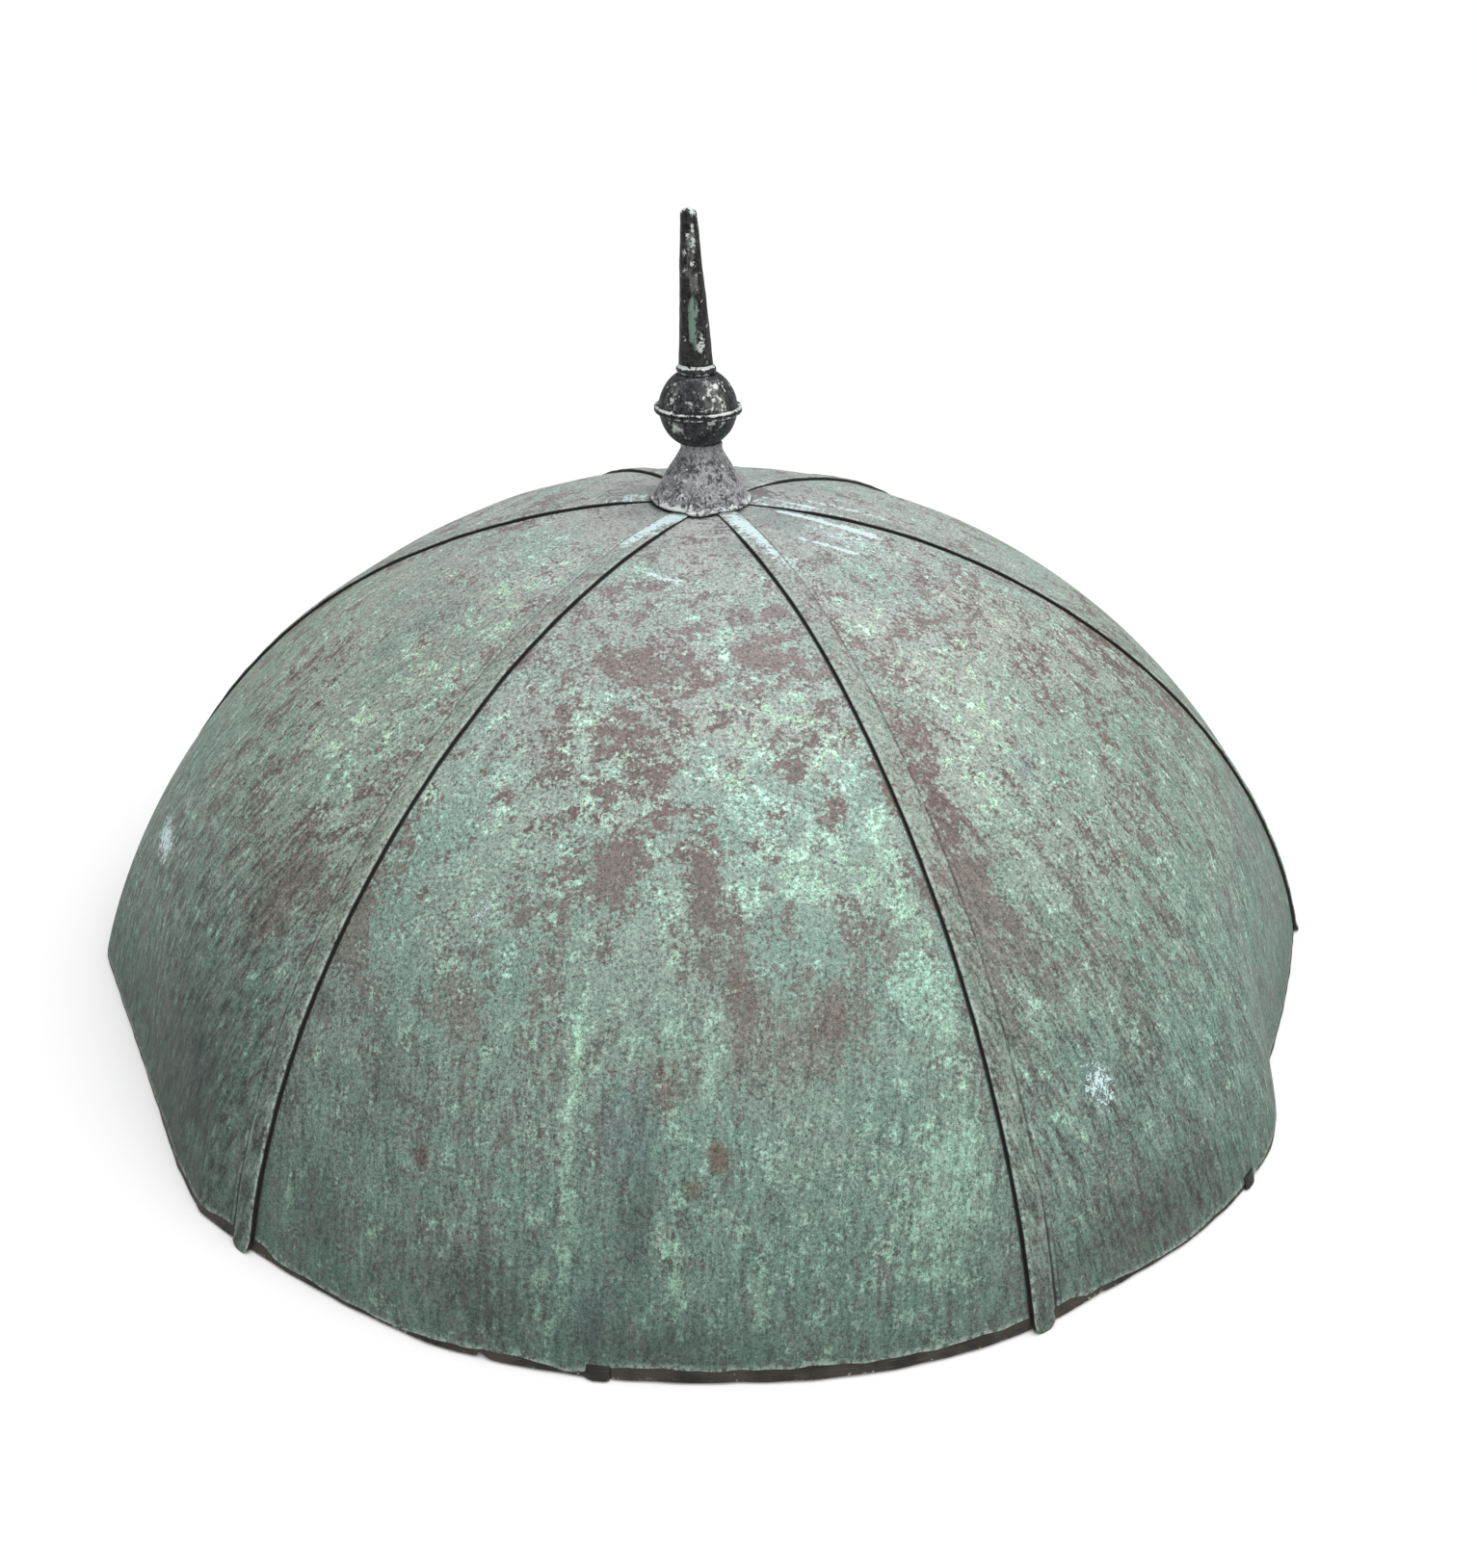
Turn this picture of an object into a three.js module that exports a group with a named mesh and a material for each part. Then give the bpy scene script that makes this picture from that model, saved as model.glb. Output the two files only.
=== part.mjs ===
// Copper roof dome of six lapped gores with a ball-and-spike finial, open underneath.
// Millimetres, +Z up, front towards -Y. The origin is on the dome's axis, level with the seam ends
// that it stands on. Azimuths are in degrees from the front (-Y), positive towards +X.
import * as THREE from 'three';

const { clamp, degToRad, euclideanModulo, lerp, radToDeg, smoothstep } = THREE.MathUtils;

// Dome shell
const RIM_RADIUS = 850;
const DOME_HEIGHT = 599.5;
const PROFILE_ANGLE = degToRad(72.6);
const SHEET = 0.8;
const CROWN_HOLE_RADIUS = 42;

// Gores and seams
const GORE_NAMES = [
  'gore_left',
  'gore_front',
  'gore_right',
  'gore_back_right',
  'gore_back',
  'gore_back_left',
];
const FIRST_SEAM = -96.5;
const GORE_SPAN = 360 / GORE_NAMES.length;
// Each seam's folded strip is part of the gore on this side of it, and laps over the other gore.
const STRIP_ON = ['left', 'left', 'right', 'right', 'right', 'left'];
const STRIP_OVERHANG = 17;
const STRIP_FOOT = 15;
const STRIP_TOP = 4.4;
const STRIP_TOP_AT_CROWN = 0.5;
const STRIP_FULL_RADIUS = 160;
const SEAM_GAP = 0.4;
const UNDERLAP = 6;

// Rim
const RIM_LIFT = 2.5;
const BAND_HEIGHT = 14;
const BAND_THICKNESS = 4;
// Joints between the bands, in degrees from the front. At each, the end of the band before or after it
// stands proud as a lap.
const BAND_JOINTS = [-6.5, 45, 105, 165, 218, 276];
const LAP_ON = ['before', 'after', 'before', 'before', 'before', 'before'];
const BAND_LAP = 27;
const BAND_LAP_RISE = 2.4;
const BAND_JOINT = 0.6;
const TAB_FLARE = 1.6;
const TAB_CLEARANCE = 0.5;

// Dents in the lower part of the shell, as shares of the rim radius and azimuths in degrees.
// A negative depth is a bulge. A creased dent is sharp on its front side.
const DENTS = [
  { centre: -60, before: 18.5, after: 18.5, depth: 0.052 },
  { centre: -33, before: 14, after: 14, depth: 0.012 },
  { centre: 18, before: 16, after: 10, depth: -0.007 },
  { centre: 42, before: 10, after: 9, depth: -0.005 },
  { centre: 60, before: 10, after: 23, depth: 0.05, creased: true },
  { centre: 116, before: 22, after: 20, depth: 0.022 },
  { centre: 166, before: 16, after: 24, depth: 0.008 },
  { centre: -124, before: 20, after: 18, depth: 0.02 },
];
const DENT_START = 0.55;
const DENT_POWER = 1.5;

// Finial
const FINIAL_X = -13;
const BALL_SHIFT = -4;
const SPIKE_SHIFT = -5.5;
const SPIKE_LEAN = 0.05;
const FINIAL_SEAT = 2.4;
const BASE_RADIUS = 63.5;
const BASE_LIP = 5;
const BASE_LIP_DROP = 1.4;
const BASE_HEIGHT = 72;
const NECK_RADIUS = 26;
const BALL_RADIUS = 49;
const BEAD_RADIUS = 54.5;
const BEAD_HALF = 5.5;
const EDGE_ROUND = 1.5;
const COLLAR_RADIUS = 24.5;
const COLLAR_HEIGHT = 11;
const SPIKE_RADIUS = 21;
const SPIKE_TIP_RADIUS = 9.7;
const SPIKE_HEIGHT = 176.5;
const JOINT_GAP = 0.3;

// Fineness of the facets
const GORE_ROWS = 14;
const GORE_COLUMNS = 12;
const BAND_COLUMNS = 20;
const TURNED_SEGMENTS = 28;
const ARC_POINTS = 6;

const COPPER = { color: 0x6d8a78, roughness: 0.85, metalness: 0.3 };
const DARK_COPPER = { color: 0x463e37, roughness: 0.8, metalness: 0.4 };
const ZINC = { color: 0x4b4d50, roughness: 0.65, metalness: 0.5 };

const CROWN_Z = RIM_LIFT + DOME_HEIGHT;

// Profile of the shell: radius, height above the rim and outward normal at an angle from the crown
function profile(angle) {
  const span = 1 - Math.cos(PROFILE_ANGLE);
  const slope = (DOME_HEIGHT * Math.sin(angle)) / span;
  const run = (RIM_RADIUS * Math.cos(angle)) / Math.sin(PROFILE_ANGLE);
  const length = Math.hypot(slope, run);
  return {
    radius: (RIM_RADIUS * Math.sin(angle)) / Math.sin(PROFILE_ANGLE),
    height: (DOME_HEIGHT * (Math.cos(angle) - Math.cos(PROFILE_ANGLE))) / span,
    outward: slope / length,
    upward: run / length,
  };
}

function angleAtHeight(height) {
  const span = 1 - Math.cos(PROFILE_ANGLE);
  return Math.acos(Math.cos(PROFILE_ANGLE) + (height / DOME_HEIGHT) * span);
}

function angleAtRadius(radius) {
  return Math.asin((radius * Math.sin(PROFILE_ANGLE)) / RIM_RADIUS);
}

function degreesFrom(centre, azimuth) {
  return euclideanModulo(azimuth - centre + 180, 360) - 180;
}

function dentShape(dent, azimuth) {
  const offset = degreesFrom(dent.centre, azimuth);
  const share = Math.abs(offset) / (offset < 0 ? dent.before : dent.after);
  if (share >= 1) {
    return 0;
  }
  return dent.creased && offset < 0 ? (1 - share) ** DENT_POWER : 1 - share * share;
}

// How far the rim is pushed out of round, fading out up the shell
function outOfRound(azimuth, angle) {
  let shift = 0;
  for (const dent of DENTS) {
    shift -= dent.depth * dentShape(dent, azimuth);
  }
  return shift * smoothstep(angle / PROFILE_ANGLE, DENT_START, 1) ** DENT_POWER;
}

// A point at a distance off the shell's outside, along its normal or level
function shellPoint(azimuth, angle, distance, level = false) {
  const at = profile(angle);
  const outward = level ? 1 : at.outward;
  const upward = level ? 0 : at.upward;
  const radius = (at.radius + distance * outward) * (1 + outOfRound(azimuth, angle));
  const turn = degToRad(azimuth);
  const height = RIM_LIFT + at.height + distance * upward;
  return new THREE.Vector3(radius * Math.sin(turn), -radius * Math.cos(turn), height);
}

// A bent plate: a grid of stations with an outer and an inner point each, closed round its edges.
// isPlate(column, row) says whether the cell after that station is metal.
function plateGeometry(stations, isPlate) {
  const columns = stations.length - 1;
  const rows = stations[0].length - 1;
  const inside = (c, r) => c >= 0 && r >= 0 && c < columns && r < rows && isPlate(c, r);
  const positions = [];
  const numbers = new Map();
  const vertex = (c, r, face) => {
    const key = `${c},${r},${face}`;
    if (!numbers.has(key)) {
      numbers.set(key, positions.length / 3);
      positions.push(...stations[c][r][face].toArray());
    }
    return numbers.get(key);
  };
  const index = [];
  const quad = (a, b, c, d) => index.push(a, b, c, a, c, d);
  const wall = (c0, r0, c1, r1) =>
    quad(vertex(c0, r0, 'outer'), vertex(c1, r1, 'outer'), vertex(c1, r1, 'inner'), vertex(c0, r0, 'inner'));
  for (let c = 0; c < columns; c += 1) {
    for (let r = 0; r < rows; r += 1) {
      if (!isPlate(c, r)) {
        continue;
      }
      // Both faces are split along the same diagonal, so a twisted sheet keeps its thickness
      const [near, down, far, beside] = [[c, r], [c, r + 1], [c + 1, r + 1], [c + 1, r]];
      quad(...[near, down, far, beside].map(([x, y]) => vertex(x, y, 'outer')));
      quad(...[near, beside, far, down].map(([x, y]) => vertex(x, y, 'inner')));
      if (!inside(c - 1, r)) {
        wall(c, r + 1, c, r);
      }
      if (!inside(c + 1, r)) {
        wall(c + 1, r, c + 1, r + 1);
      }
      if (!inside(c, r - 1)) {
        wall(c, r, c + 1, r);
      }
      if (!inside(c, r + 1)) {
        wall(c + 1, r + 1, c, r + 1);
      }
    }
  }
  const geometry = new THREE.BufferGeometry();
  geometry.setAttribute('position', new THREE.Float32BufferAttribute(positions, 3));
  geometry.setIndex(index);
  geometry.computeVertexNormals();
  return geometry;
}

// Columns of a gore at a seam, by how far each lies inside the nominal seam line
const STRIP_COLUMNS = [
  { inward: -STRIP_OVERHANG, top: STRIP_TOP, under: SEAM_GAP, tab: true },
  { inward: -4, top: STRIP_TOP * 0.88, under: SEAM_GAP, tab: true },
  { inward: 8, top: STRIP_TOP * 0.55, under: SEAM_GAP, tab: true },
  { inward: STRIP_FOOT, top: 0, under: -SHEET, tab: false },
];
const UNDERLAP_COLUMNS = [
  { inward: -UNDERLAP, top: 0, under: -SHEET, tab: false },
  { inward: 4, top: 0, under: -SHEET, tab: false },
  { inward: STRIP_OVERHANG, top: 0, under: -SHEET, tab: false },
];

// The strips are dressed flatter where they run under the finial.
function stripFullness(radius) {
  return lerp(STRIP_TOP_AT_CROWN, 1, smoothstep(radius, CROWN_HOLE_RADIUS, STRIP_FULL_RADIUS));
}

function goreColumns(left, right) {
  const seamColumn = (column, side) => ({ ...column, side });
  const pan = [];
  for (let i = 1; i < GORE_COLUMNS; i += 1) {
    pan.push({ share: i / GORE_COLUMNS, top: 0, under: -SHEET, tab: false });
  }
  return [
    ...left.map((column) => seamColumn(column, 'left')),
    ...pan,
    ...right.map((column) => seamColumn(column, 'right')).reverse(),
  ];
}

function columnAzimuth(column, seams, innermost, radius) {
  const leftAt = (inward) => seams.left + radToDeg(inward / radius);
  const rightAt = (inward) => seams.right - radToDeg(inward / radius);
  if (column.side === 'left') {
    return leftAt(column.inward);
  }
  if (column.side === 'right') {
    return rightAt(column.inward);
  }
  return lerp(leftAt(innermost.left), rightAt(innermost.right), column.share);
}

function goreGeometry(number) {
  const next = (number + 1) % GORE_NAMES.length;
  const left = STRIP_ON[number] === 'right' ? STRIP_COLUMNS : UNDERLAP_COLUMNS;
  const right = STRIP_ON[next] === 'left' ? STRIP_COLUMNS : UNDERLAP_COLUMNS;
  const seams = {
    left: FIRST_SEAM + number * GORE_SPAN,
    right: FIRST_SEAM + (number + 1) * GORE_SPAN,
  };
  const innermost = { left: left.at(-1).inward, right: right.at(-1).inward };
  const columns = goreColumns(left, right);

  const crown = angleAtRadius(CROWN_HOLE_RADIUS);
  const edge = angleAtHeight(BAND_HEIGHT);
  const angles = [];
  for (let r = 0; r <= GORE_ROWS; r += 1) {
    angles.push(lerp(crown, edge, r / GORE_ROWS));
  }
  // The strips run on below the sheet as tabs that cover the rim band and flare out.
  angles.push(angleAtHeight(0), angleAtHeight(-RIM_LIFT));

  const stations = columns.map((column) =>
    angles.map((angle, r) => {
      const { radius } = profile(angle);
      const azimuth = columnAzimuth(column, seams, innermost, radius);
      const flare = TAB_FLARE * clamp(r - GORE_ROWS, 0, 1);
      const level = r >= GORE_ROWS;
      const clearance = level && column.tab ? TAB_CLEARANCE : 0;
      const top = column.top * stripFullness(radius);
      return {
        outer: shellPoint(azimuth, angle, top + flare, level),
        inner: shellPoint(azimuth, angle, column.under + clearance, level),
      };
    }),
  );
  const isPlate = (c, r) => r < GORE_ROWS || (columns[c].tab && columns[c + 1].tab);
  return plateGeometry(stations, isPlate);
}

// A rim band runs from one joint to the next, with proud ends where it laps its neighbour.
function bandGeometry(number) {
  const joint = radToDeg(BAND_JOINT / RIM_RADIUS) / 2;
  const lap = radToDeg(BAND_LAP / RIM_RADIUS);
  const next = (number + 1) % BAND_JOINTS.length;
  const start = BAND_JOINTS[number] + joint;
  const end = BAND_JOINTS[next] + (next === 0 ? 360 : 0) - joint;
  const startRise = LAP_ON[number] === 'after' ? BAND_LAP_RISE : 0;
  const endRise = LAP_ON[next] === 'before' ? BAND_LAP_RISE : 0;
  const azimuths = [
    { azimuth: start, rise: startRise },
    { azimuth: start + lap * 0.9, rise: startRise },
  ];
  for (let i = 0; i <= BAND_COLUMNS; i += 1) {
    azimuths.push({ azimuth: lerp(start + lap, end - lap, i / BAND_COLUMNS), rise: 0 });
  }
  azimuths.push({ azimuth: end - lap * 0.9, rise: endRise });
  azimuths.push({ azimuth: end, rise: endRise });
  const heights = [BAND_HEIGHT - SEAM_GAP, 0];
  const stations = azimuths.map(({ azimuth, rise }) =>
    heights.map((height) => {
      const angle = angleAtHeight(height);
      return {
        outer: shellPoint(azimuth, angle, rise, true),
        inner: shellPoint(azimuth, angle, -BAND_THICKNESS, true),
      };
    }),
  );
  return plateGeometry(stations, () => true);
}

// Points of a circular arc in the turning plane, from one elevation to another, in degrees
function arc(radius, from, to) {
  const points = [];
  for (let i = 0; i <= ARC_POINTS; i += 1) {
    const turn = degToRad(lerp(from, to, i / ARC_POINTS));
    points.push([radius * Math.cos(turn), radius * Math.sin(turn)]);
  }
  return points;
}

// A turned piece: its outline from the axis round to the axis, stood upright at a height
function turnedGeometry(outline, height) {
  const points = outline.map(([x, y]) => new THREE.Vector2(x, y + height));
  const geometry = new THREE.LatheGeometry(points, TURNED_SEGMENTS);
  geometry.rotateX(Math.PI / 2);
  return geometry;
}

// The base and the ball stand upright off the dome's axis, and the collar and spike lean to the left.
function finialPieces() {
  const seat = CROWN_Z + FINIAL_SEAT;
  const neck = seat + BASE_HEIGHT;
  const neckElevation = radToDeg(Math.acos(NECK_RADIUS / BALL_RADIUS));
  const collarElevation = radToDeg(Math.acos(COLLAR_RADIUS / BALL_RADIUS));
  const lipElevation = radToDeg(Math.asin(BEAD_HALF / BALL_RADIUS));
  const ballFoot = BALL_RADIUS * Math.sin(degToRad(neckElevation));
  const ballHead = BALL_RADIUS * Math.sin(degToRad(collarElevation));
  const ball = neck + JOINT_GAP + ballFoot;
  const collar = ball + ballHead + JOINT_GAP;
  const spike = collar + COLLAR_HEIGHT + JOINT_GAP;
  const split = JOINT_GAP / 2;

  const base = [
    [0, 0],
    [BASE_RADIUS - BASE_LIP, 0],
    [BASE_RADIUS - BASE_LIP * 0.6, -BASE_LIP_DROP],
    [BASE_RADIUS, -BASE_LIP_DROP],
    [BASE_RADIUS * 1.008, BASE_HEIGHT * 0.011],
    [BASE_RADIUS * 0.96, BASE_HEIGHT * 0.055],
    [BASE_RADIUS * 0.79, BASE_HEIGHT * 0.31],
    [BASE_RADIUS * 0.63, BASE_HEIGHT * 0.55],
    [BASE_RADIUS * 0.525, BASE_HEIGHT * 0.69],
    [NECK_RADIUS * 1.1, BASE_HEIGHT * 0.81],
    [NECK_RADIUS, BASE_HEIGHT * 0.9],
    [NECK_RADIUS, BASE_HEIGHT],
    [0, BASE_HEIGHT],
  ];
  const lowerBall = [
    [0, -ballFoot],
    ...arc(BALL_RADIUS, -neckElevation, -lipElevation),
    [BEAD_RADIUS - EDGE_ROUND, -BEAD_HALF * 0.8],
    [BEAD_RADIUS, -BEAD_HALF * 0.4],
    [BEAD_RADIUS, -split],
    [0, -split],
  ];
  const upperBall = [
    [0, split],
    [BEAD_RADIUS, split],
    [BEAD_RADIUS, BEAD_HALF * 0.4],
    [BEAD_RADIUS - EDGE_ROUND, BEAD_HALF * 0.8],
    ...arc(BALL_RADIUS, lipElevation, collarElevation),
    [0, ballHead],
  ];
  const ring = [
    [0, 0],
    [COLLAR_RADIUS - EDGE_ROUND, 0],
    [COLLAR_RADIUS, COLLAR_HEIGHT * 0.35],
    [COLLAR_RADIUS, COLLAR_HEIGHT * 0.7],
    [COLLAR_RADIUS - EDGE_ROUND, COLLAR_HEIGHT],
    [0, COLLAR_HEIGHT],
  ];
  const needle = [
    [0, 0],
    [SPIKE_RADIUS, 0],
    [SPIKE_TIP_RADIUS, SPIKE_HEIGHT - SPIKE_TIP_RADIUS * 0.55],
    [SPIKE_TIP_RADIUS * 0.75, SPIKE_HEIGHT - SPIKE_TIP_RADIUS * 0.17],
    [SPIKE_TIP_RADIUS * 0.35, SPIKE_HEIGHT],
    [0, SPIKE_HEIGHT],
  ];
  const lean = new THREE.Matrix4().makeShear(0, 0, 0, 0, -SPIKE_LEAN, 0);
  const leaning = (outline, height) =>
    turnedGeometry(outline, height).translate(0, 0, -collar).applyMatrix4(lean).translate(0, 0, collar);
  return [
    { name: 'finial_base', geometry: turnedGeometry(base, seat), shift: 0 },
    { name: 'finial_ball_lower', geometry: turnedGeometry(lowerBall, ball), shift: BALL_SHIFT },
    { name: 'finial_ball_upper', geometry: turnedGeometry(upperBall, ball), shift: BALL_SHIFT },
    { name: 'finial_collar', geometry: leaning(ring, collar), shift: SPIKE_SHIFT },
    { name: 'finial_spike', geometry: leaning(needle, spike), shift: SPIKE_SHIFT },
  ];
}

function addPiece(parent, name, geometry, finish) {
  const piece = new THREE.Mesh(geometry, new THREE.MeshStandardMaterial(finish));
  piece.name = name;
  parent.add(piece);
  return piece;
}

const cupola = new THREE.Group();
GORE_NAMES.forEach((name, number) => {
  addPiece(cupola, name, goreGeometry(number), COPPER);
});
for (let number = 0; number < BAND_JOINTS.length; number += 1) {
  addPiece(cupola, `rim_band_${number + 1}`, bandGeometry(number), DARK_COPPER);
}
const finial = new THREE.Group();
finial.position.x = FINIAL_X;
for (const { name, geometry, shift } of finialPieces()) {
  addPiece(finial, name, geometry, ZINC).position.x = shift;
}
cupola.add(finial);

export default cupola;
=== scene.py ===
"""Weathered copper roof dome of six lapped gores, with a zinc ball-and-spike finial, open underneath."""
import math
from types import SimpleNamespace

import bpy
import numpy as np
from mathutils import Matrix, Vector


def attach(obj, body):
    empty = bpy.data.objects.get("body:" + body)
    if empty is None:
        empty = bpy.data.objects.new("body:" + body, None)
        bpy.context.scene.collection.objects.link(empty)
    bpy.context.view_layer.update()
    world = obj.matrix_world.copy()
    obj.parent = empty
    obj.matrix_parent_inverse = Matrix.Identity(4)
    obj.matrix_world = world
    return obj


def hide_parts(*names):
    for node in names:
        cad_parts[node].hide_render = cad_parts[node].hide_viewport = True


MM = 0.001

# Dome shell, as in the solids
RIM_RADIUS = 0.850
DOME_HEIGHT = 0.5995
PROFILE_ANGLE = math.radians(72.6)
SHEET = 0.8 * MM
CROWN_HOLE_RADIUS = 0.042
RIM_LIFT = 2.5 * MM
CROWN_Z = RIM_LIFT + DOME_HEIGHT

# Gores and seams: azimuths in degrees from the front (-Y), positive towards +X
GORES = ["gore_left", "gore_front", "gore_right", "gore_back_right", "gore_back", "gore_back_left"]
FIRST_SEAM = -96.5
GORE_SPAN = 60.0
STRIP_ON = ["left", "left", "right", "right", "right", "left"]
SEAM_GAP = 0.4 * MM
STRIP_TOP_AT_CROWN = 0.5
STRIP_FULL_RADIUS = 0.160
STRIP_UNEVENNESS = 0.1

# Fine streaks down each gore: strength, share that reaches the upper half, and fineness across
STREAK_STRENGTH = [1.2, 0.8, 0.8, 0.8, 0.7, 0.8]
STREAK_ABOVE = [0.5, 0.0, 0.55, 0.4, 0.1, 0.3]
STREAK_FINENESS = [0.7, 1.0, 1.0, 1.0, 1.0, 1.0]

# Rim
BAND_HEIGHT = 14 * MM
BAND_THICKNESS = 4 * MM
BAND_INSET = 1.1 * MM
BAND_JOINTS = [-6.5, 45, 105, 165, 218, 276]
LAP_ON = ["before", "after", "before", "before", "before", "before"]
BAND_LAP = 27 * MM
BAND_LAP_RISE = 2.4 * MM
BAND_LAP_DROP = 0.9 * MM
LAP_RISES_OVER = 0.4
LAP_END_SINKS = 0.3
LAP_END_SHARE = 0.1
BAND_JOINT = 0.6 * MM
TAB_FLARE = 1.6 * MM
TAB_CLEARANCE = 0.5 * MM
TAB_ROUNDING = 6 * MM
TAB_CURL = 0.8 * MM
TAB_OFFSET = 4.5 * MM
TAB_HALF_WIDTH = 12.5 * MM

# Dents of the rim, as shares of the rim radius; a creased dent is sharp on its front side
DENTS = [
    dict(centre=-60, before=18.5, after=18.5, depth=0.052),
    dict(centre=-33, before=14, after=14, depth=0.012),
    dict(centre=18, before=16, after=10, depth=-0.007),
    dict(centre=42, before=10, after=9, depth=-0.005),
    dict(centre=60, before=10, after=23, depth=0.05, creased=True),
    dict(centre=116, before=22, after=20, depth=0.022),
    dict(centre=166, before=16, after=24, depth=0.008),
    dict(centre=-124, before=20, after=18, depth=0.02),
]
DENT_START = 0.55
DENT_POWER = 1.5

# Finial
FINIAL_X = -0.013
BALL_SHIFT = -4 * MM
SPIKE_SHIFT = -5.5 * MM
SPIKE_LEAN = 0.05
FINIAL_SEAT = 2.4 * MM
BASE_RADIUS = 63.5 * MM
BASE_HEIGHT = 72 * MM
BASE_LIP_DROP = 1.4 * MM
NECK_RADIUS = 26 * MM
BALL_RADIUS = 49 * MM
BEAD_RADIUS = 54.5 * MM
BEAD_HALF = 5.5 * MM
COLLAR_RADIUS = 24.5 * MM
COLLAR_HEIGHT = 11 * MM
SPIKE_RADIUS = 21 * MM
SPIKE_TIP_RADIUS = 9.7 * MM
SPIKE_HEIGHT = 176.5 * MM
JOINT_GAP = 0.3 * MM
BASE_UNEVENNESS = 0.35 * MM
BALL_UNEVENNESS = 0.22 * MM
COLLAR_UNEVENNESS = 0.3 * MM
SPIKE_UNEVENNESS = 0.25 * MM
LOWER_BEAD_WEAR = 0.7

# Fineness of the meshes
GORE_ROWS = 150
PAN_COLUMNS = 90
TAB_ROWS = 9
BAND_COLUMNS = 220
TURNED_SEGMENTS = 120
SHARP_EDGE = math.radians(38)

# Photograph's camera, in the same frame
PHOTO_WIDTH = 1533
PHOTO_HEIGHT = 1628
FOCAL_PX = 1429.8
SENSOR = 36.0
CAMERA_AT = Vector((0.0, -1.71059, 1.16657 + RIM_LIFT))
CAMERA_RIGHT = Vector((0.999795, -0.016187, 0.012161))
CAMERA_UP = Vector((-0.002422, 0.500717, 0.865607))
CAMERA_FORWARD = Vector((0.020100, 0.865460, -0.500575))


# Shape of the shell

def smooth(value, low, high):
    share = np.clip((value - low) / (high - low), 0.0, 1.0)
    return share * share * (3 - 2 * share)


def profile(angle):
    span = 1 - math.cos(PROFILE_ANGLE)
    slope = DOME_HEIGHT * np.sin(angle) / span
    run = RIM_RADIUS * np.cos(angle) / math.sin(PROFILE_ANGLE)
    length = np.hypot(slope, run)
    radius = RIM_RADIUS * np.sin(angle) / math.sin(PROFILE_ANGLE)
    height = DOME_HEIGHT * (np.cos(angle) - math.cos(PROFILE_ANGLE)) / span
    return radius, height, slope / length, run / length


def angle_at_height(height):
    span = 1 - math.cos(PROFILE_ANGLE)
    return np.arccos(math.cos(PROFILE_ANGLE) + height / DOME_HEIGHT * span)


def angle_at_radius(radius):
    return math.asin(radius * math.sin(PROFILE_ANGLE) / RIM_RADIUS)


def degrees_from(centre, azimuth):
    return (azimuth - centre + 180) % 360 - 180


def dent_shape(dent, azimuth):
    offset = degrees_from(dent["centre"], azimuth)
    share = np.abs(offset) / np.where(offset < 0, dent["before"], dent["after"])
    share = np.minimum(share, 1.0)
    round_side = 1 - share * share
    if not dent.get("creased"):
        return round_side
    return np.where(offset < 0, (1 - share) ** DENT_POWER, round_side)


def out_of_round(azimuth, angle):
    shift = sum(-dent["depth"] * dent_shape(dent, azimuth) for dent in DENTS)
    return shift * smooth(angle / PROFILE_ANGLE, DENT_START, 1.0) ** DENT_POWER


def shell_point(azimuth, angle, distance, level):
    radius, height, outward, upward = profile(angle)
    outward = np.where(level, 1.0, outward)
    upward = np.where(level, 0.0, upward)
    reach = (radius + distance * outward) * (1 + out_of_round(azimuth, angle))
    turn = np.radians(azimuth)
    z = RIM_LIFT + height + distance * upward
    return np.stack([reach * np.sin(turn), -reach * np.cos(turn), z], axis=-1)


def photo_spot(x, y):
    """Azimuth and profile angle of the point of the dome that a pixel of the photograph shows."""
    across = RIM_RADIUS / math.sin(PROFILE_ANGLE)
    upright = DOME_HEIGHT / (1 - math.cos(PROFILE_ANGLE))
    centre = Vector((0, 0, RIM_LIFT - upright * math.cos(PROFILE_ANGLE)))
    ray = (
        CAMERA_RIGHT * ((x - PHOTO_WIDTH / 2) / FOCAL_PX)
        + CAMERA_UP * ((PHOTO_HEIGHT / 2 - y) / FOCAL_PX)
        + CAMERA_FORWARD
    )
    shrink = Vector((1 / across, 1 / across, 1 / upright))
    start = (CAMERA_AT - centre) * shrink
    ray = ray * shrink
    half = start.dot(ray)
    inside = half * half - ray.dot(ray) * (start.dot(start) - 1)
    hit = start + ray * ((-half - math.sqrt(max(inside, 0.0))) / ray.dot(ray))
    azimuth = math.degrees(math.atan2(hit.x, -hit.y))
    return azimuth, math.acos(max(-1.0, min(1.0, hit.z)))


# Unevenness of the sheet: long soft waves and small dings, the same on both sides of a seam

RELIEF_WAVES = 14
RELIEF_DINGS = 46
RELIEF_HEIGHT = 1.0 * MM
RELIEF_SEED = 11
RELIEF_FULL_FROM = (0.07, 0.3)
RELIEF_ENDS_AT = (0.93, 0.985)


def relief_field():
    rng = np.random.default_rng(RELIEF_SEED)
    waves = [
        dict(
            turns=int(rng.integers(3, 24)),
            rises=rng.uniform(2, 14),
            phase=rng.uniform(0, 2 * math.pi),
            height=RELIEF_HEIGHT / math.sqrt(RELIEF_WAVES) * rng.uniform(0.5, 1.4),
        )
        for _ in range(RELIEF_WAVES)
    ]
    dings = [
        dict(
            azimuth=rng.uniform(-180, 180),
            angle=PROFILE_ANGLE * rng.uniform(0.25, 0.97),
            size=rng.uniform(0.012, 0.045),
            depth=rng.uniform(0.3, 1.3) * MM,
        )
        for _ in range(RELIEF_DINGS)
    ]
    return waves, dings


RELIEF = relief_field()


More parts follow.
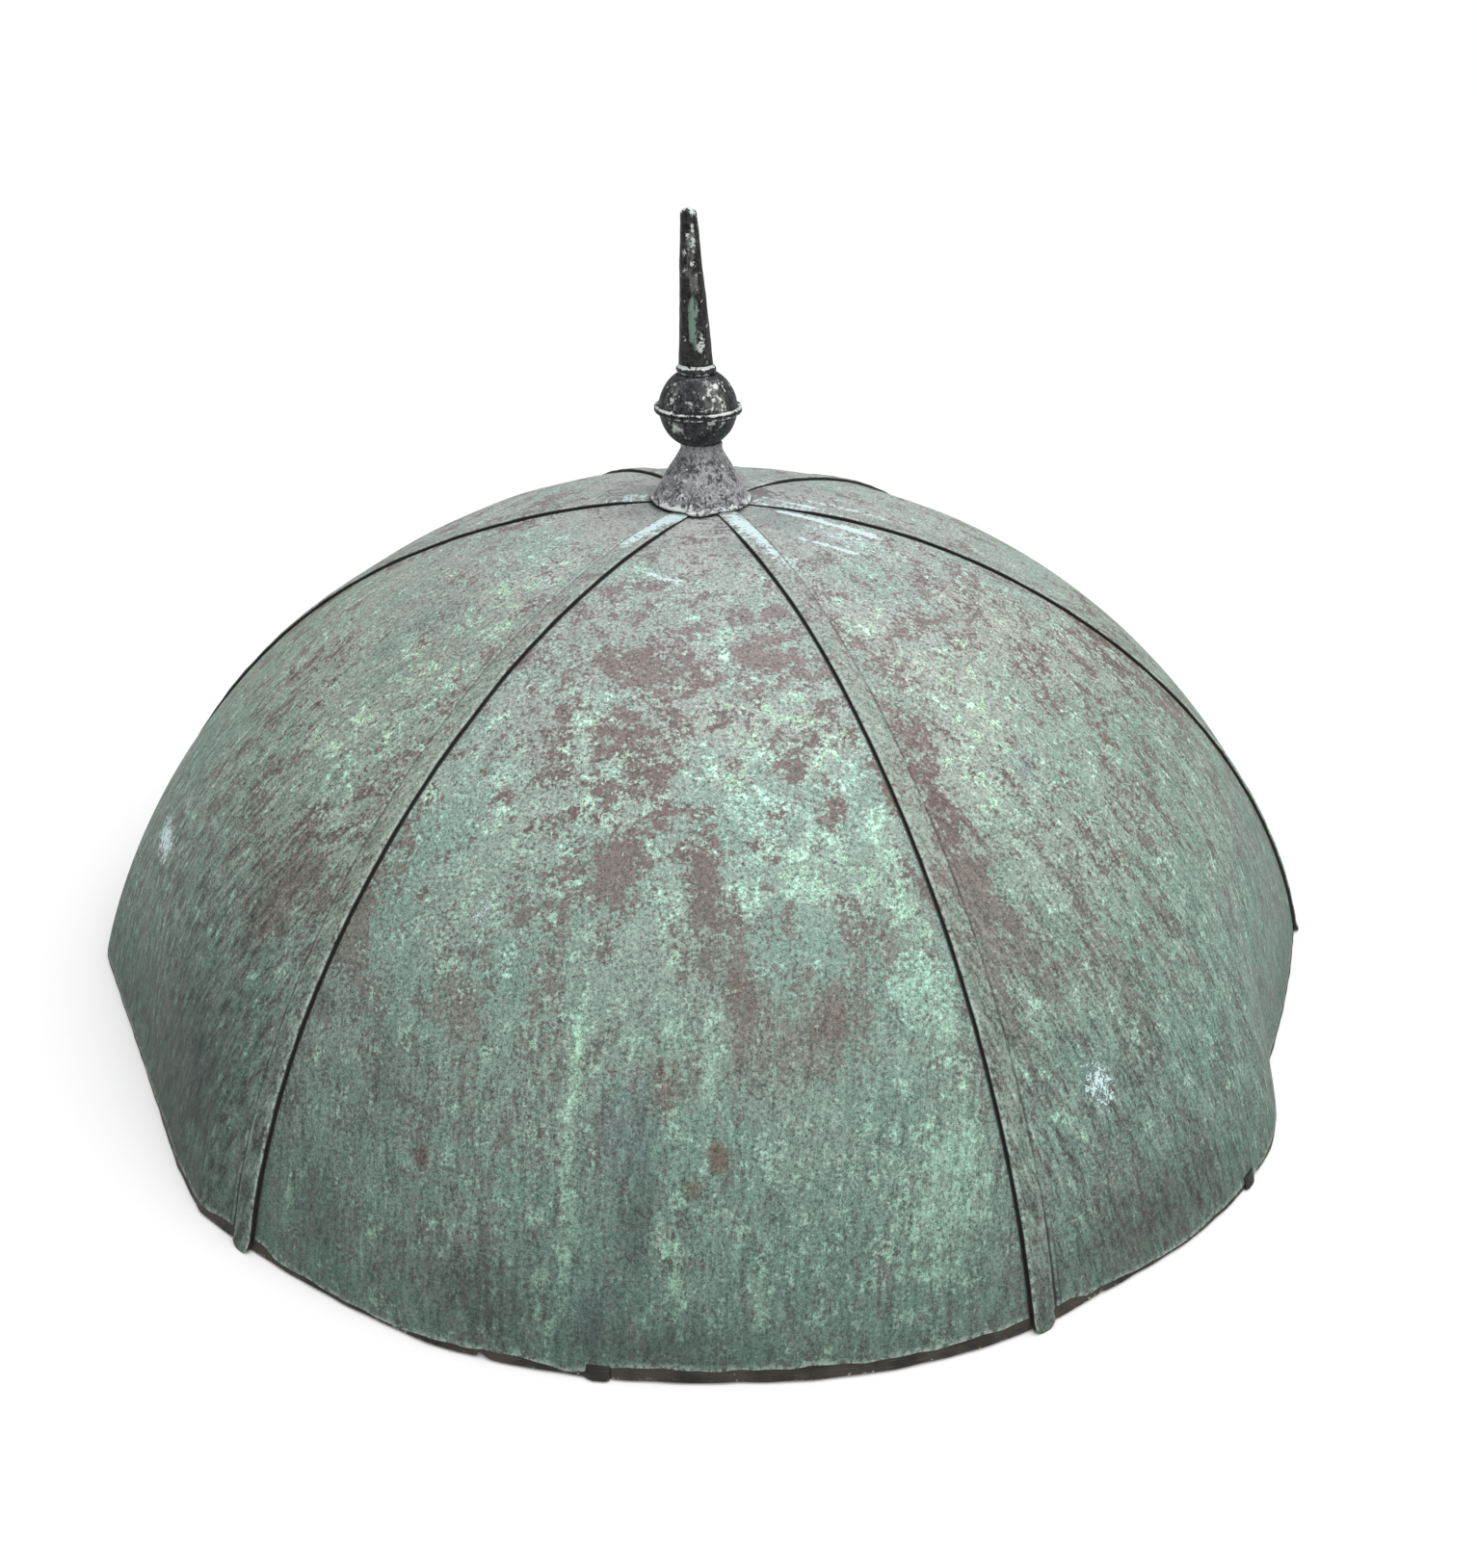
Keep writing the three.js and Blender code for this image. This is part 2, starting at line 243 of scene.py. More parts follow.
def relief(azimuth, angle):
    waves, dings = RELIEF
    radius = profile(angle)[0]
    rise = np.zeros_like(azimuth)
    for wave in waves:
        rise += wave["height"] * np.sin(
            np.radians(azimuth) * wave["turns"] + angle * wave["rises"] + wave["phase"]
        )
    rise *= smooth(radius, *RELIEF_FULL_FROM)
    for ding in dings:
        across = np.radians(degrees_from(ding["azimuth"], azimuth)) * radius
        along = (angle - ding["angle"]) * RIM_RADIUS
        rise -= ding["depth"] * np.exp(-(across**2 + along**2) / ding["size"] ** 2)
    return rise


# Meshes

def mesh_object(name, points, faces, attributes):
    mesh = bpy.data.meshes.new(name)
    mesh.from_pydata(points.tolist(), [], faces)
    for key, values in attributes.items():
        layer = mesh.attributes.new(key, "FLOAT_VECTOR", "POINT")
        layer.data.foreach_set("vector", values.astype(np.float32).ravel())
    mesh.polygons.foreach_set("use_smooth", np.ones(len(mesh.polygons), bool))
    mesh.set_sharp_from_angle(angle=SHARP_EDGE)
    mesh.update()
    piece = bpy.data.objects.new(name, mesh)
    bpy.context.scene.collection.objects.link(piece)
    return piece


def plate(name, outer, inner, solid, attributes):
    """A bent plate from a grid of outer and inner points, closed round the cells that are metal."""
    columns, rows = outer.shape[:2]
    count = columns * rows
    top = np.arange(count).reshape(columns, rows)
    under = top + count
    near, far = slice(0, -1), slice(1, None)
    a, b, c, d = (near, near), (near, far), (far, far), (far, near)
    ringed = np.pad(solid, 1)
    faces = [
        np.stack([top[k] for k in (a, b, c, d)], -1)[solid],
        np.stack([under[k] for k in (d, c, b, a)], -1)[solid],
    ]
    walls = [
        (ringed[:-2, 1:-1], b, a),
        (ringed[2:, 1:-1], d, c),
        (ringed[1:-1, :-2], a, d),
        (ringed[1:-1, 2:], c, b),
    ]
    for neighbour, first, last in walls:
        open_edge = solid & ~neighbour
        quad = np.stack([top[first], top[last], under[last], under[first]], -1)
        faces.append(quad[open_edge])
    faces = np.concatenate(faces)
    used, faces = np.unique(faces, return_inverse=True)
    points = np.concatenate([outer.reshape(-1, 3), inner.reshape(-1, 3)])[used]
    values = {}
    for key, value in attributes.items():
        both = np.concatenate([value.reshape(-1, 3), value.reshape(-1, 3)])
        values[key] = both[used]
    inside = np.zeros((len(used), 3))
    inside[:, 0] = used >= count
    values["side"] = inside
    return mesh_object(name, points, faces.reshape(-1, 4).tolist(), values)


# Seams

def fold(inward, top=0.0, shade_and_dirt=0.0, worn_and_highlight=0.0):
    """A point of a seam's section: millimetres inside the seam and above the sheet, painted shadow with some
    grime, and rubbed edge with painted highlight.
    """
    return dict(inward=inward, top=top, shade_and_dirt=shade_and_dirt, worn_and_highlight=worn_and_highlight)


# Painted shadow: the strip's free edge is darkened to a black gap line, and the grooves where the strip
# meets its own pan a little; painted highlight: the free edge's top corner and the ridges are paled
STRIP_SECTION = [
    fold(inward=-17.0, top=0.9, shade_and_dirt=1.0),
    fold(inward=-17.2, top=2.4, shade_and_dirt=1.0),
    fold(inward=-16.8, top=3.6, shade_and_dirt=0.75, worn_and_highlight=0.1),
    fold(inward=-15.8, top=4.3, worn_and_highlight=1.0),
    fold(inward=-14.0, top=4.5, worn_and_highlight=0.7),
    fold(inward=-11.5, top=4.4, worn_and_highlight=0.1),
    fold(inward=-8.0, top=4.2),
    fold(inward=-4.0, top=4.0),
    fold(inward=1.0, top=3.7),
    fold(inward=5.5, top=3.3),
    fold(inward=8.5, top=2.8, worn_and_highlight=0.35),
    fold(inward=10.5, top=1.9, shade_and_dirt=0.1, worn_and_highlight=0.1),
    fold(inward=12.0, top=0.5, shade_and_dirt=0.55),
    fold(inward=13.6, top=-0.1, shade_and_dirt=0.6),
    fold(inward=15.4, top=0.6, shade_and_dirt=0.1, worn_and_highlight=0.25),
    fold(inward=17.6, top=0.7, worn_and_highlight=0.1),
    fold(inward=19.6, shade_and_dirt=0.4),
    fold(inward=22.0, top=0.1, shade_and_dirt=0.1, worn_and_highlight=0.1),
    fold(inward=26.0),
]
# Painted shadow: the pan under and beside the strip's free edge is darkened to a black line
UNDERLAP_SECTION = [
    fold(inward=-6.0, shade_and_dirt=1.0),
    fold(inward=6.0, shade_and_dirt=1.0),
    fold(inward=15.0, shade_and_dirt=1.0),
    fold(inward=17.4, shade_and_dirt=1.0),
    fold(inward=19.0, shade_and_dirt=0.9),
    fold(inward=20.6, shade_and_dirt=0.3),
    fold(inward=24.0),
    fold(inward=32.0),
]
STRIP_UNDER_TO = 8.6
STRIP_INNER_AT = 12 * MM


def seam_columns(section, is_strip):
    inward = np.array([point["inward"] for point in section]) * MM
    top = np.array([point["top"] for point in section]) * MM
    hollow = is_strip & (inward <= STRIP_UNDER_TO * MM)
    return dict(
        inward=inward,
        top=top,
        under=np.where(hollow, SEAM_GAP, -SHEET),
        tab=hollow,
        shade_and_dirt=np.array([point["shade_and_dirt"] for point in section]),
        worn_and_highlight=np.array([point["worn_and_highlight"] for point in section]),
        strip=np.full(len(section), 1.0 if is_strip else 0.0) * (inward < STRIP_INNER_AT),
    )


def pan_columns():
    zeros = np.zeros(PAN_COLUMNS - 1)
    return dict(
        inward=zeros, top=zeros, under=zeros - SHEET, tab=zeros > 0, shade_and_dirt=zeros, worn_and_highlight=zeros, strip=zeros,
    )


# Waves round the sheets' bottom edge: height in millimetres, number of waves, phase
EDGE_WAVES = [(0.9, 31, 1), (0.7, 67, 2), (0.5, 149, 0)]
# Places where the sheet hangs over the band: azimuth, half width in degrees, drop
EDGE_DROOPS = [
    (-9.0, 1.6, 9.0 * MM),
    (-24.0, 12.0, 9.0 * MM),
    (-68.0, 28.0, 9.5 * MM),
    (34.0, 10.0, 5.0 * MM),
    (55.0, 28.0, 8.0 * MM),
    (120.0, 20.0, 5.0 * MM),
    (165.0, 12.0, 6.0 * MM),
    (-140.0, 22.0, 6.0 * MM),
]
EDGE_RISE = -2 * MM
EDGE_DROP = BAND_HEIGHT * 0.75
# Degrees inside the seam and share of the rows over which the raggedness sets in
RAGGED_BESIDE = (2.2, 4.0)
RAGGED_BELOW = 0.9


def ripple(turn, waves):
    return sum(height * np.sin(turn * count + phase) for height, count, phase in waves) * MM


def ragged_edge(azimuth):
    """How far the sheet's bottom edge hangs below its nominal height."""
    drop = ripple(np.radians(azimuth), EDGE_WAVES)
    for azimuth_at, width, depth in EDGE_DROOPS:
        drop = drop + depth * np.exp(-(degrees_from(azimuth_at, azimuth) / width) ** 2)
    return np.clip(drop, EDGE_RISE, EDGE_DROP)


SQUEEZED_BELOW = 0.14
SQUEEZED_TO = 0.3


def inner_edge(columns, radius):
    """Distances inside the seam, drawn together where the gore narrows at the crown."""
    inward = columns["inward"][:, None]
    squeeze = np.clip(radius / SQUEEZED_BELOW, SQUEEZED_TO, 1.0)
    held = np.minimum(inward, STRIP_INNER_AT)
    return held + (inward - held) * squeeze


def gore_stations(number):
    left_strip = STRIP_ON[number] == "right"
    right_strip = STRIP_ON[(number + 1) % len(GORES)] == "left"
    left = seam_columns(STRIP_SECTION if left_strip else UNDERLAP_SECTION, left_strip)
    right = seam_columns(STRIP_SECTION if right_strip else UNDERLAP_SECTION, right_strip)
    right = {key: value[::-1] for key, value in right.items()}
    pan = pan_columns()
    joined = {key: np.concatenate([left[key], pan[key], right[key]]) for key in left}
    seam_left = FIRST_SEAM + number * GORE_SPAN
    seam_right = seam_left + GORE_SPAN

    crown = angle_at_radius(CROWN_HOLE_RADIUS)
    edge = angle_at_height(BAND_HEIGHT)
    down = np.concatenate([
        np.linspace(crown, edge, GORE_ROWS + 1),
        angle_at_height(np.linspace(BAND_HEIGHT, -RIM_LIFT, TAB_ROWS + 1)[1:]),
    ])
    radius = profile(down)[0][None, :]
    from_left = seam_left + np.degrees(inner_edge(left, radius) / radius)
    from_right = seam_right - np.degrees(inner_edge(right, radius) / radius)
    share = (np.arange(1, PAN_COLUMNS) / PAN_COLUMNS)[:, None]
    between = from_left[-1:] + (from_right[:1] - from_left[-1:]) * share
    azimuth = np.concatenate([from_left, between, from_right])
    angle = np.repeat(down[None, :], len(azimuth), axis=0)
    inside_seam = np.minimum(azimuth - seam_left, seam_right - azimuth)
    return joined, azimuth, angle, inside_seam


def bottom_edge(angle, azimuth, radius, row, tab_row, inside_seam):
    """Profile angles with the sheet's ragged bottom edge and the strips' rounded ends."""
    pan_share = smooth(inside_seam, *RAGGED_BESIDE)
    near_edge = smooth(row / GORE_ROWS, RAGGED_BELOW, 1.0) * (row <= GORE_ROWS)
    lowered = angle_at_height(BAND_HEIGHT - ragged_edge(azimuth) * pan_share)
    angle = angle + near_edge * (lowered - angle_at_height(BAND_HEIGHT))
    across_tab = np.clip((np.radians(inside_seam) * radius + TAB_OFFSET) / TAB_HALF_WIDTH, -1, 1)
    shorter = TAB_ROUNDING * np.abs(across_tab) ** 3
    tab_height = BAND_HEIGHT - tab_row * (BAND_HEIGHT + RIM_LIFT - shorter)
    return np.where(row > GORE_ROWS, angle_at_height(tab_height), angle)


def gore_piece(number):
    columns, azimuth, angle, inside_seam = gore_stations(number)
    row = np.arange(angle.shape[1])[None, :]
    tab_row = np.clip((row - GORE_ROWS) / TAB_ROWS, 0, 1)
    radius = profile(angle)[0]
    tab = columns["tab"][:, None]
    level = row >= GORE_ROWS
    angle = bottom_edge(angle, azimuth, radius, row, tab_row, inside_seam)

    fullness = smooth(radius, CROWN_HOLE_RADIUS, STRIP_FULL_RADIUS)
    fullness = STRIP_TOP_AT_CROWN + (1 - STRIP_TOP_AT_CROWN) * fullness
    uneven = 1 + STRIP_UNEVENNESS * np.sin(angle * 90 + number) * np.sin(angle * 37)
    waves = relief(azimuth, angle) * (1 - smooth(angle / PROFILE_ANGLE, *RELIEF_ENDS_AT))
    flare = TAB_FLARE * smooth(tab_row, 0.0, 0.8) + TAB_CURL * np.sin(math.pi * smooth(tab_row, 0.6, 1.0))
    top = columns["top"][:, None] * fullness * uneven + waves
    under = columns["under"][:, None] + np.where(level & tab, TAB_CLEARANCE, 0.0) + waves
    outer = shell_point(azimuth, angle, top + np.where(tab, flare, 0.0), level)
    inner = shell_point(azimuth, angle, under, level)

    metal = np.ones((len(azimuth) - 1, angle.shape[1] - 1), bool)
    metal[:, GORE_ROWS:] = (columns["tab"][:-1] & columns["tab"][1:])[:, None]
    attributes = gore_attributes(number, columns, azimuth, angle, radius, row, inside_seam)
    return plate("copper_" + GORES[number], outer, inner, metal, attributes)


# Patches of the patina

def spot(x, y, wide, tall, amount):
    """A patch at a pixel of the photograph, with half sizes across and along the gore in millimetres."""
    azimuth, angle = photo_spot(x, y)
    return dict(azimuth=azimuth, angle=angle, across=wide * MM, along=tall * MM, amount=amount)


MINT_PATCHES = [
    spot(x=650, y=800, wide=260, tall=220, amount=0.3),
    spot(x=860, y=900, wide=160, tall=260, amount=0.12),
    spot(x=450, y=710, wide=200, tall=180, amount=0.15),
    spot(x=820, y=1290, wide=300, tall=160, amount=0.3),
    spot(x=520, y=960, wide=140, tall=180, amount=0.25),
    spot(x=1000, y=720, wide=140, tall=140, amount=0.2),
    spot(x=702, y=1340, wide=8, tall=60, amount=1.3),
    spot(x=790, y=1345, wide=9, tall=50, amount=1.1),
    spot(x=562, y=1370, wide=8, tall=40, amount=1.3),
    spot(x=702, y=1210, wide=8, tall=70, amount=0.9),
    spot(x=753, y=674, wide=12, tall=30, amount=1.55),
    spot(x=804, y=720, wide=30, tall=30, amount=0.93),
    spot(x=850, y=779, wide=40, tall=45, amount=0.9),
    spot(x=779, y=799, wide=45, tall=45, amount=0.93),
    spot(x=845, y=853, wide=60, tall=40, amount=0.78),
    spot(x=919, y=865, wide=22, tall=60, amount=0.7),
    spot(x=768, y=924, wide=28, tall=30, amount=1.24),
    spot(x=888, y=919, wide=40, tall=60, amount=0.62),
    spot(x=934, y=940, wide=22, tall=70, amount=0.8),
    spot(x=945, y=1005, wide=40, tall=60, amount=0.8),
    spot(x=975, y=1045, wide=35, tall=55, amount=0.9),
    spot(x=1003, y=1189, wide=30, tall=60, amount=1.04),
    spot(x=985, y=1242, wide=30, tall=50, amount=1.04),
    spot(x=930, y=1285, wide=90, tall=110, amount=0.5),
    spot(x=615, y=743, wide=30, tall=30, amount=1.08),
    spot(x=646, y=789, wide=16, tall=20, amount=1.4),
    spot(x=699, y=939, wide=18, tall=50, amount=1.08),
    spot(x=500, y=640, wide=60, tall=45, amount=0.6),
    spot(x=445, y=700, wide=70, tall=50, amount=0.5),
    spot(x=360, y=768, wide=50, tall=50, amount=0.93),
    spot(x=420, y=830, wide=50, tall=70, amount=0.62),
    spot(x=560, y=590, wide=60, tall=50, amount=0.5),
    spot(x=960, y=690, wide=50, tall=50, amount=0.5),
    spot(x=995, y=745, wide=40, tall=50, amount=0.45),
    spot(x=1090, y=640, wide=70, tall=50, amount=0.3),
    spot(x=1130, y=880, wide=60, tall=100, amount=0.46),
    spot(x=293, y=1262, wide=10, tall=50, amount=1.7),
    spot(x=590, y=1170, wide=8, tall=110, amount=1.25),
    spot(x=588, y=1300, wide=7, tall=90, amount=1.2),
    spot(x=738, y=1095, wide=11, tall=55, amount=1.3),
    spot(x=697, y=1085, wide=12, tall=70, amount=1.1),
    spot(x=600, y=1080, wide=14, tall=50, amount=0.8),
    spot(x=1270, y=1150, wide=20, tall=60, amount=0.4),
    spot(x=700, y=590, wide=50, tall=30, amount=0.4),
    spot(x=800, y=600, wide=30, tall=30, amount=0.5),
    spot(x=832, y=921, wide=26, tall=30, amount=0.9),
    spot(x=634, y=835, wide=24, tall=30, amount=0.8),
    spot(x=893, y=658, wide=30, tall=20, amount=0.7),
    spot(x=1022, y=829, wide=24, tall=40, amount=0.8),
]
BROWN_PATCHES = [
    spot(x=787, y=511, wide=16, tall=16, amount=2.2),
    spot(x=655, y=690, wide=50, tall=40, amount=1),
    spot(x=652, y=757, wide=40, tall=35, amount=1.12),
    spot(x=735, y=915, wide=28, tall=50, amount=1.25),
    spot(x=733, y=985, wide=45, tall=40, amount=0.88),
    spot(x=818, y=797, wide=34, tall=34, amount=0.88),
    spot(x=770, y=700, wide=60, tall=40, amount=0.75),
    spot(x=800, y=640, wide=60, tall=45, amount=0.6),
    spot(x=905, y=965, wide=35, tall=40, amount=0.75),
    spot(x=1018, y=935, wide=36, tall=60, amount=1),
    spot(x=980, y=840, wide=40, tall=70, amount=0.62),
    spot(x=1140, y=970, wide=30, tall=70, amount=0.62),
    spot(x=940, y=660, wide=40, tall=30, amount=0.62),
    spot(x=303, y=894, wide=45, tall=60, amount=1),
    spot(x=265, y=950, wide=50, tall=50, amount=0.5),
    spot(x=560, y=760, wide=60, tall=60, amount=0.5),
    spot(x=480, y=1040, wide=20, tall=40, amount=0.62),
    spot(x=690, y=1130, wide=50, tall=70, amount=0.4),
    spot(x=830, y=1080, wide=70, tall=70, amount=0.62),
    spot(x=437, y=1202, wide=8, tall=16, amount=1),
    spot(x=746, y=1204, wide=9, tall=14, amount=1.2),
    spot(x=719, y=1237, wide=8, tall=12, amount=1.1),
    spot(x=693, y=1128, wide=10, tall=24, amount=1.1),
    spot(x=602, y=1100, wide=7, tall=10, amount=1),
    spot(x=560, y=960, wide=40, tall=60, amount=0.5),
    spot(x=640, y=880, wide=40, tall=60, amount=0.62),
    spot(x=870, y=1330, wide=50, tall=60, amount=0.3),
    spot(x=1010, y=1235, wide=12, tall=22, amount=0.8),
    spot(x=1190, y=1270, wide=160, tall=90, amount=0.5),
    spot(x=808, y=691, wide=24, tall=26, amount=0.9),
    spot(x=872, y=850, wide=26, tall=26, amount=1),
    spot(x=961, y=756, wide=30, tall=30, amount=0.9),
    spot(x=930, y=985, wide=26, tall=30, amount=1),
    spot(x=811, y=951, wide=26, tall=22, amount=0.9),
    spot(x=667, y=811, wide=26, tall=26, amount=0.8),
    spot(x=637, y=915, wide=18, tall=40, amount=0.9),
    spot(x=955, y=701, wide=26, tall=22, amount=0.8),
    spot(x=870, y=1040, wide=30, tall=36, amount=0.45),
    spot(x=770, y=1030, wide=22, tall=40, amount=0.8),
]
BLUE_PATCHES = [
    spot(x=645, y=1270, wide=42, tall=150, amount=0.85),
    spot(x=605, y=1370, wide=30, tall=60, amount=0.8),
    spot(x=640, y=1170, wide=40, tall=50, amount=0.6),
    spot(x=820, y=856, wide=20, tall=15, amount=0.8),
    spot(x=862, y=884, wide=20, tall=15, amount=0.7),
    spot(x=190, y=980, wide=40, tall=50, amount=0.8),
    spot(x=1140, y=1125, wide=26, tall=32, amount=1.1),
    spot(x=200, y=1105, wide=40, tall=50, amount=0.9),
    spot(x=1060, y=790, wide=35, tall=35, amount=0.9),
    spot(x=338, y=1210, wide=14, tall=40, amount=0.9),
    spot(x=405, y=1190, wide=30, tall=40, amount=0.6),
    spot(x=470, y=1190, wide=30, tall=40, amount=0.5),
    spot(x=790, y=1160, wide=30, tall=30, amount=0.6),
    spot(x=988, y=1228, wide=14, tall=30, amount=0.7),
]
# Painted shade and dark stains: the left gore, which faces away from the light, and the gores' lower
# tucked-in parts are darkened broadly, with dark stains low on the front
SHADE_AND_STAIN_PATCHES = [
    spot(x=230, y=930, wide=420, tall=480, amount=0.3),
    spot(x=480, y=640, wide=160, tall=140, amount=0.22),
    spot(x=920, y=930, wide=60, tall=120, amount=0.2),
    spot(x=190, y=1140, wide=160, tall=180, amount=0.42),
    spot(x=110, y=1040, wide=250, tall=120, amount=0.3),
    spot(x=500, y=1350, wide=90, tall=50, amount=0.45),
    spot(x=700, y=1400, wide=100, tall=35, amount=0.45),
    spot(x=330, y=1260, wide=60, tall=60, amount=0.25),
    spot(x=660, y=1260, wide=28, tall=70, amount=0.45),
    spot(x=1200, y=1250, wide=140, tall=60, amount=0.42),
    spot(x=400, y=1120, wide=50, tall=60, amount=0.25),
]
CHALK_PATCHES = [
    spot(x=166, y=872, wide=60, tall=30, amount=1.35),
    spot(x=1140, y=1125, wide=25, tall=31, amount=1.2),
    spot(x=587, y=559, wide=30, tall=18, amount=0.9),
    spot(x=568, y=604, wide=16, tall=14, amount=0.9),
    spot(x=826, y=586, wide=14, tall=30, amount=0.95),
    spot(x=870, y=556, wide=30, tall=80, amount=0.75),
    spot(x=940, y=575, wide=30, tall=90, amount=0.6),
    spot(x=500, y=948, wide=10, tall=20, amount=1),
]
# Brushed marks from one pixel of the photograph to another, with half width in metres
CHALK_STREAKS = [
    dict(start=(671, 595), end=(704, 604), width=0.006, amount=1.5),
    dict(start=(792, 516), end=(845, 531), width=0.003, amount=1.7),
    dict(start=(808, 531), end=(908, 558), width=0.0035, amount=1.9),
    dict(start=(832, 559), end=(891, 575), width=0.004, amount=1.3),
    dict(start=(831, 519), end=(922, 541), width=0.007, amount=1.15),
    dict(start=(880, 548), end=(905, 555), width=0.006, amount=1.2),
    dict(start=(704, 537), end=(648, 566), width=0.010, amount=0.85),
    dict(start=(612, 519), end=(668, 514), width=0.007, amount=1.0),
    dict(start=(763, 540), end=(788, 560), width=0.010, amount=0.4),
    dict(start=(763, 540), end=(816, 590), width=0.010, amount=0.45),
]


def patch_field(patches, azimuth, angle, radius):
    field = np.zeros_like(azimuth)
    for patch in patches:
        across = np.radians(degrees_from(patch["azimuth"], azimuth)) * radius / patch["across"]
        along = (angle - patch["angle"]) * RIM_RADIUS / patch["along"]
        field += patch["amount"] * np.exp(-(across**2) - along**2)
    return field


def plan_spot(x, y):
    """Place in plan of the point of the dome that a pixel of the photograph shows."""
    azimuth, angle = photo_spot(x, y)
    turn = math.radians(azimuth)
    return profile(angle)[0] * np.array([math.sin(turn), -math.cos(turn)])


def streak_field(streaks, azimuth, radius):
    plan = np.stack([radius * np.sin(np.radians(azimuth)), -radius * np.cos(np.radians(azimuth))], -1)
    field = np.zeros_like(azimuth)
    for streak in streaks:
        start = plan_spot(*streak["start"])
        run = plan_spot(*streak["end"]) - start
        share = np.clip((plan - start) @ run / run.dot(run), 0, 1)
        off = np.linalg.norm(plan - start - share[..., None] * run, axis=-1)
        field += streak["amount"] * np.exp(-((off / streak["width"]) ** 2))
    return field


# Zones of the patina, of its painted shadow and highlight, and of the darkening at the rim: radii in metres,
# and shares of the way down
CROWN_ZONE = (0.10, 0.24)
CHALKY_STRIP_ENDS = (0.10, 0.30)
CHALKY_STRIP = 0.72
# Painted shadow: a dark ring on the sheet just outside the finial base's lip
CROWN_SHADOW = 0.9
CROWN_SHADOW_REACH = 6 * MM
# The sheet darkens over its last stretch towards the rim
RIM_DARKENING = 0.35
RIM_DARKENING_FROM = RIM_RADIUS * 0.93
# Painted highlight with rubbed chips: a pale line along each sheet's bottom edge
EDGE_HIGHLIGHT_AND_WEAR = 0.9
MARGIN_BROWN = 0.45
MARGIN_ENDS = (0.022, 0.052)
MARGIN_SETS_IN = (0.2, 0.4)
STREAKS_ABOVE_IN = (0.1, 0.45)
STREAKS_BELOW_IN = (0.45, 0.85)
RUST_SETS_IN = (0.55, 0.75)
FLOW_STEP = 3.7
BAND_FLOW_STEP = 1.7


def per_row(values, rows):
    return np.repeat(values[:, None], rows, axis=1)


def tone_attribute(azimuth, angle, radius, from_seam, strip):
    """Mint flakes, brown oxide, which also shows as a margin beside the strips, and blue-grey stains."""
    layers = (MINT_PATCHES, BROWN_PATCHES, BLUE_PATCHES)
    tone = np.stack([patch_field(patches, azimuth, angle, radius) for patches in layers], -1)
    margin = (1 - smooth(from_seam, *MARGIN_ENDS)) * (1 - strip) * smooth(radius, *MARGIN_SETS_IN)
    tone[..., 1] += MARGIN_BROWN * margin
    return tone


def painted_light_and_wear_attribute(columns, azimuth, angle, radius, row, strip):
    """Painted shadow with some grime, darkening towards the rim, chalk, and rubbed edges with painted
    highlight.
    """
    rows = angle.shape[1]
    turn = np.radians(azimuth)
    from_finial = np.hypot(radius * np.sin(turn) - FINIAL_X, radius * np.cos(turn))
    crown_shadow = CROWN_SHADOW * (1 - smooth(from_finial, BASE_RADIUS, BASE_RADIUS + CROWN_SHADOW_REACH))
    rim_darkening = RIM_DARKENING * smooth(radius, RIM_DARKENING_FROM, RIM_RADIUS)
    shade_and_dirt = per_row(columns["shade_and_dirt"], rows) + rim_darkening + crown_shadow
    chalk = patch_field(CHALK_PATCHES, azimuth, angle, radius)
    chalk += streak_field(CHALK_STREAKS, azimuth, radius)
    chalk += CHALKY_STRIP * strip * (1 - smooth(radius, *CHALKY_STRIP_ENDS))
    at_edge = (row == GORE_ROWS) * (1 - per_row(columns["tab"], rows))
    worn_and_highlight = np.maximum(per_row(columns["worn_and_highlight"], rows), EDGE_HIGHLIGHT_AND_WEAR * at_edge)
    return np.stack([np.clip(shade_and_dirt, 0, 1), chalk, worn_and_highlight], -1)


def shade_and_age_attribute(number, azimuth, angle, radius):
    """Painted shade and dark stains, fine streaks, and brown patches that turn rusty low down."""
    share = angle / PROFILE_ANGLE
    dark = patch_field(SHADE_AND_STAIN_PATCHES, azimuth, angle, radius)
    above = STREAK_ABOVE[number] * smooth(share, *STREAKS_ABOVE_IN)
    comb = (above + smooth(share, *STREAKS_BELOW_IN)) * STREAK_STRENGTH[number]
    rust = patch_field(BROWN_PATCHES, azimuth, angle, radius) * smooth(share, *RUST_SETS_IN)
    return np.stack([dark, comb, rust], -1)


def gore_attributes(number, columns, azimuth, angle, radius, row, inside_seam):
    centre = FIRST_SEAM + (number + 0.5) * GORE_SPAN
    across = np.radians(azimuth - centre) * radius * STREAK_FINENESS[number]
    strip = per_row(columns["strip"], angle.shape[1])
    near_crown = 1 - smooth(radius, *CROWN_ZONE)
    return dict(
        flow=np.stack([across, angle * RIM_RADIUS, np.full_like(angle, number * FLOW_STEP)], -1),
        tone=tone_attribute(azimuth, angle, radius, np.radians(inside_seam) * radius, strip),
        wear_and_painted_light=painted_light_and_wear_attribute(columns, azimuth, angle, radius, row, strip),
        kind=np.stack([strip, angle / PROFILE_ANGLE, near_crown], -1),
        shade_and_age=shade_and_age_attribute(number, azimuth, angle, radius),
    )


# Rim bands

BAND_SECTION = [
    dict(height=13.6, out=0.0),
    dict(height=12.6, out=0.0),
    dict(height=8.0, out=0.1),
    dict(height=4.0, out=0.3),
    dict(height=1.6, out=0.8),
    dict(height=0.5, out=0.7),
    dict(height=0.0, out=0.2),
]
# Waves round the band's face: height in millimetres, number of waves, phase
BAND_WAVES = [(0.25, 57, 2), (0.2, 121, 0)]
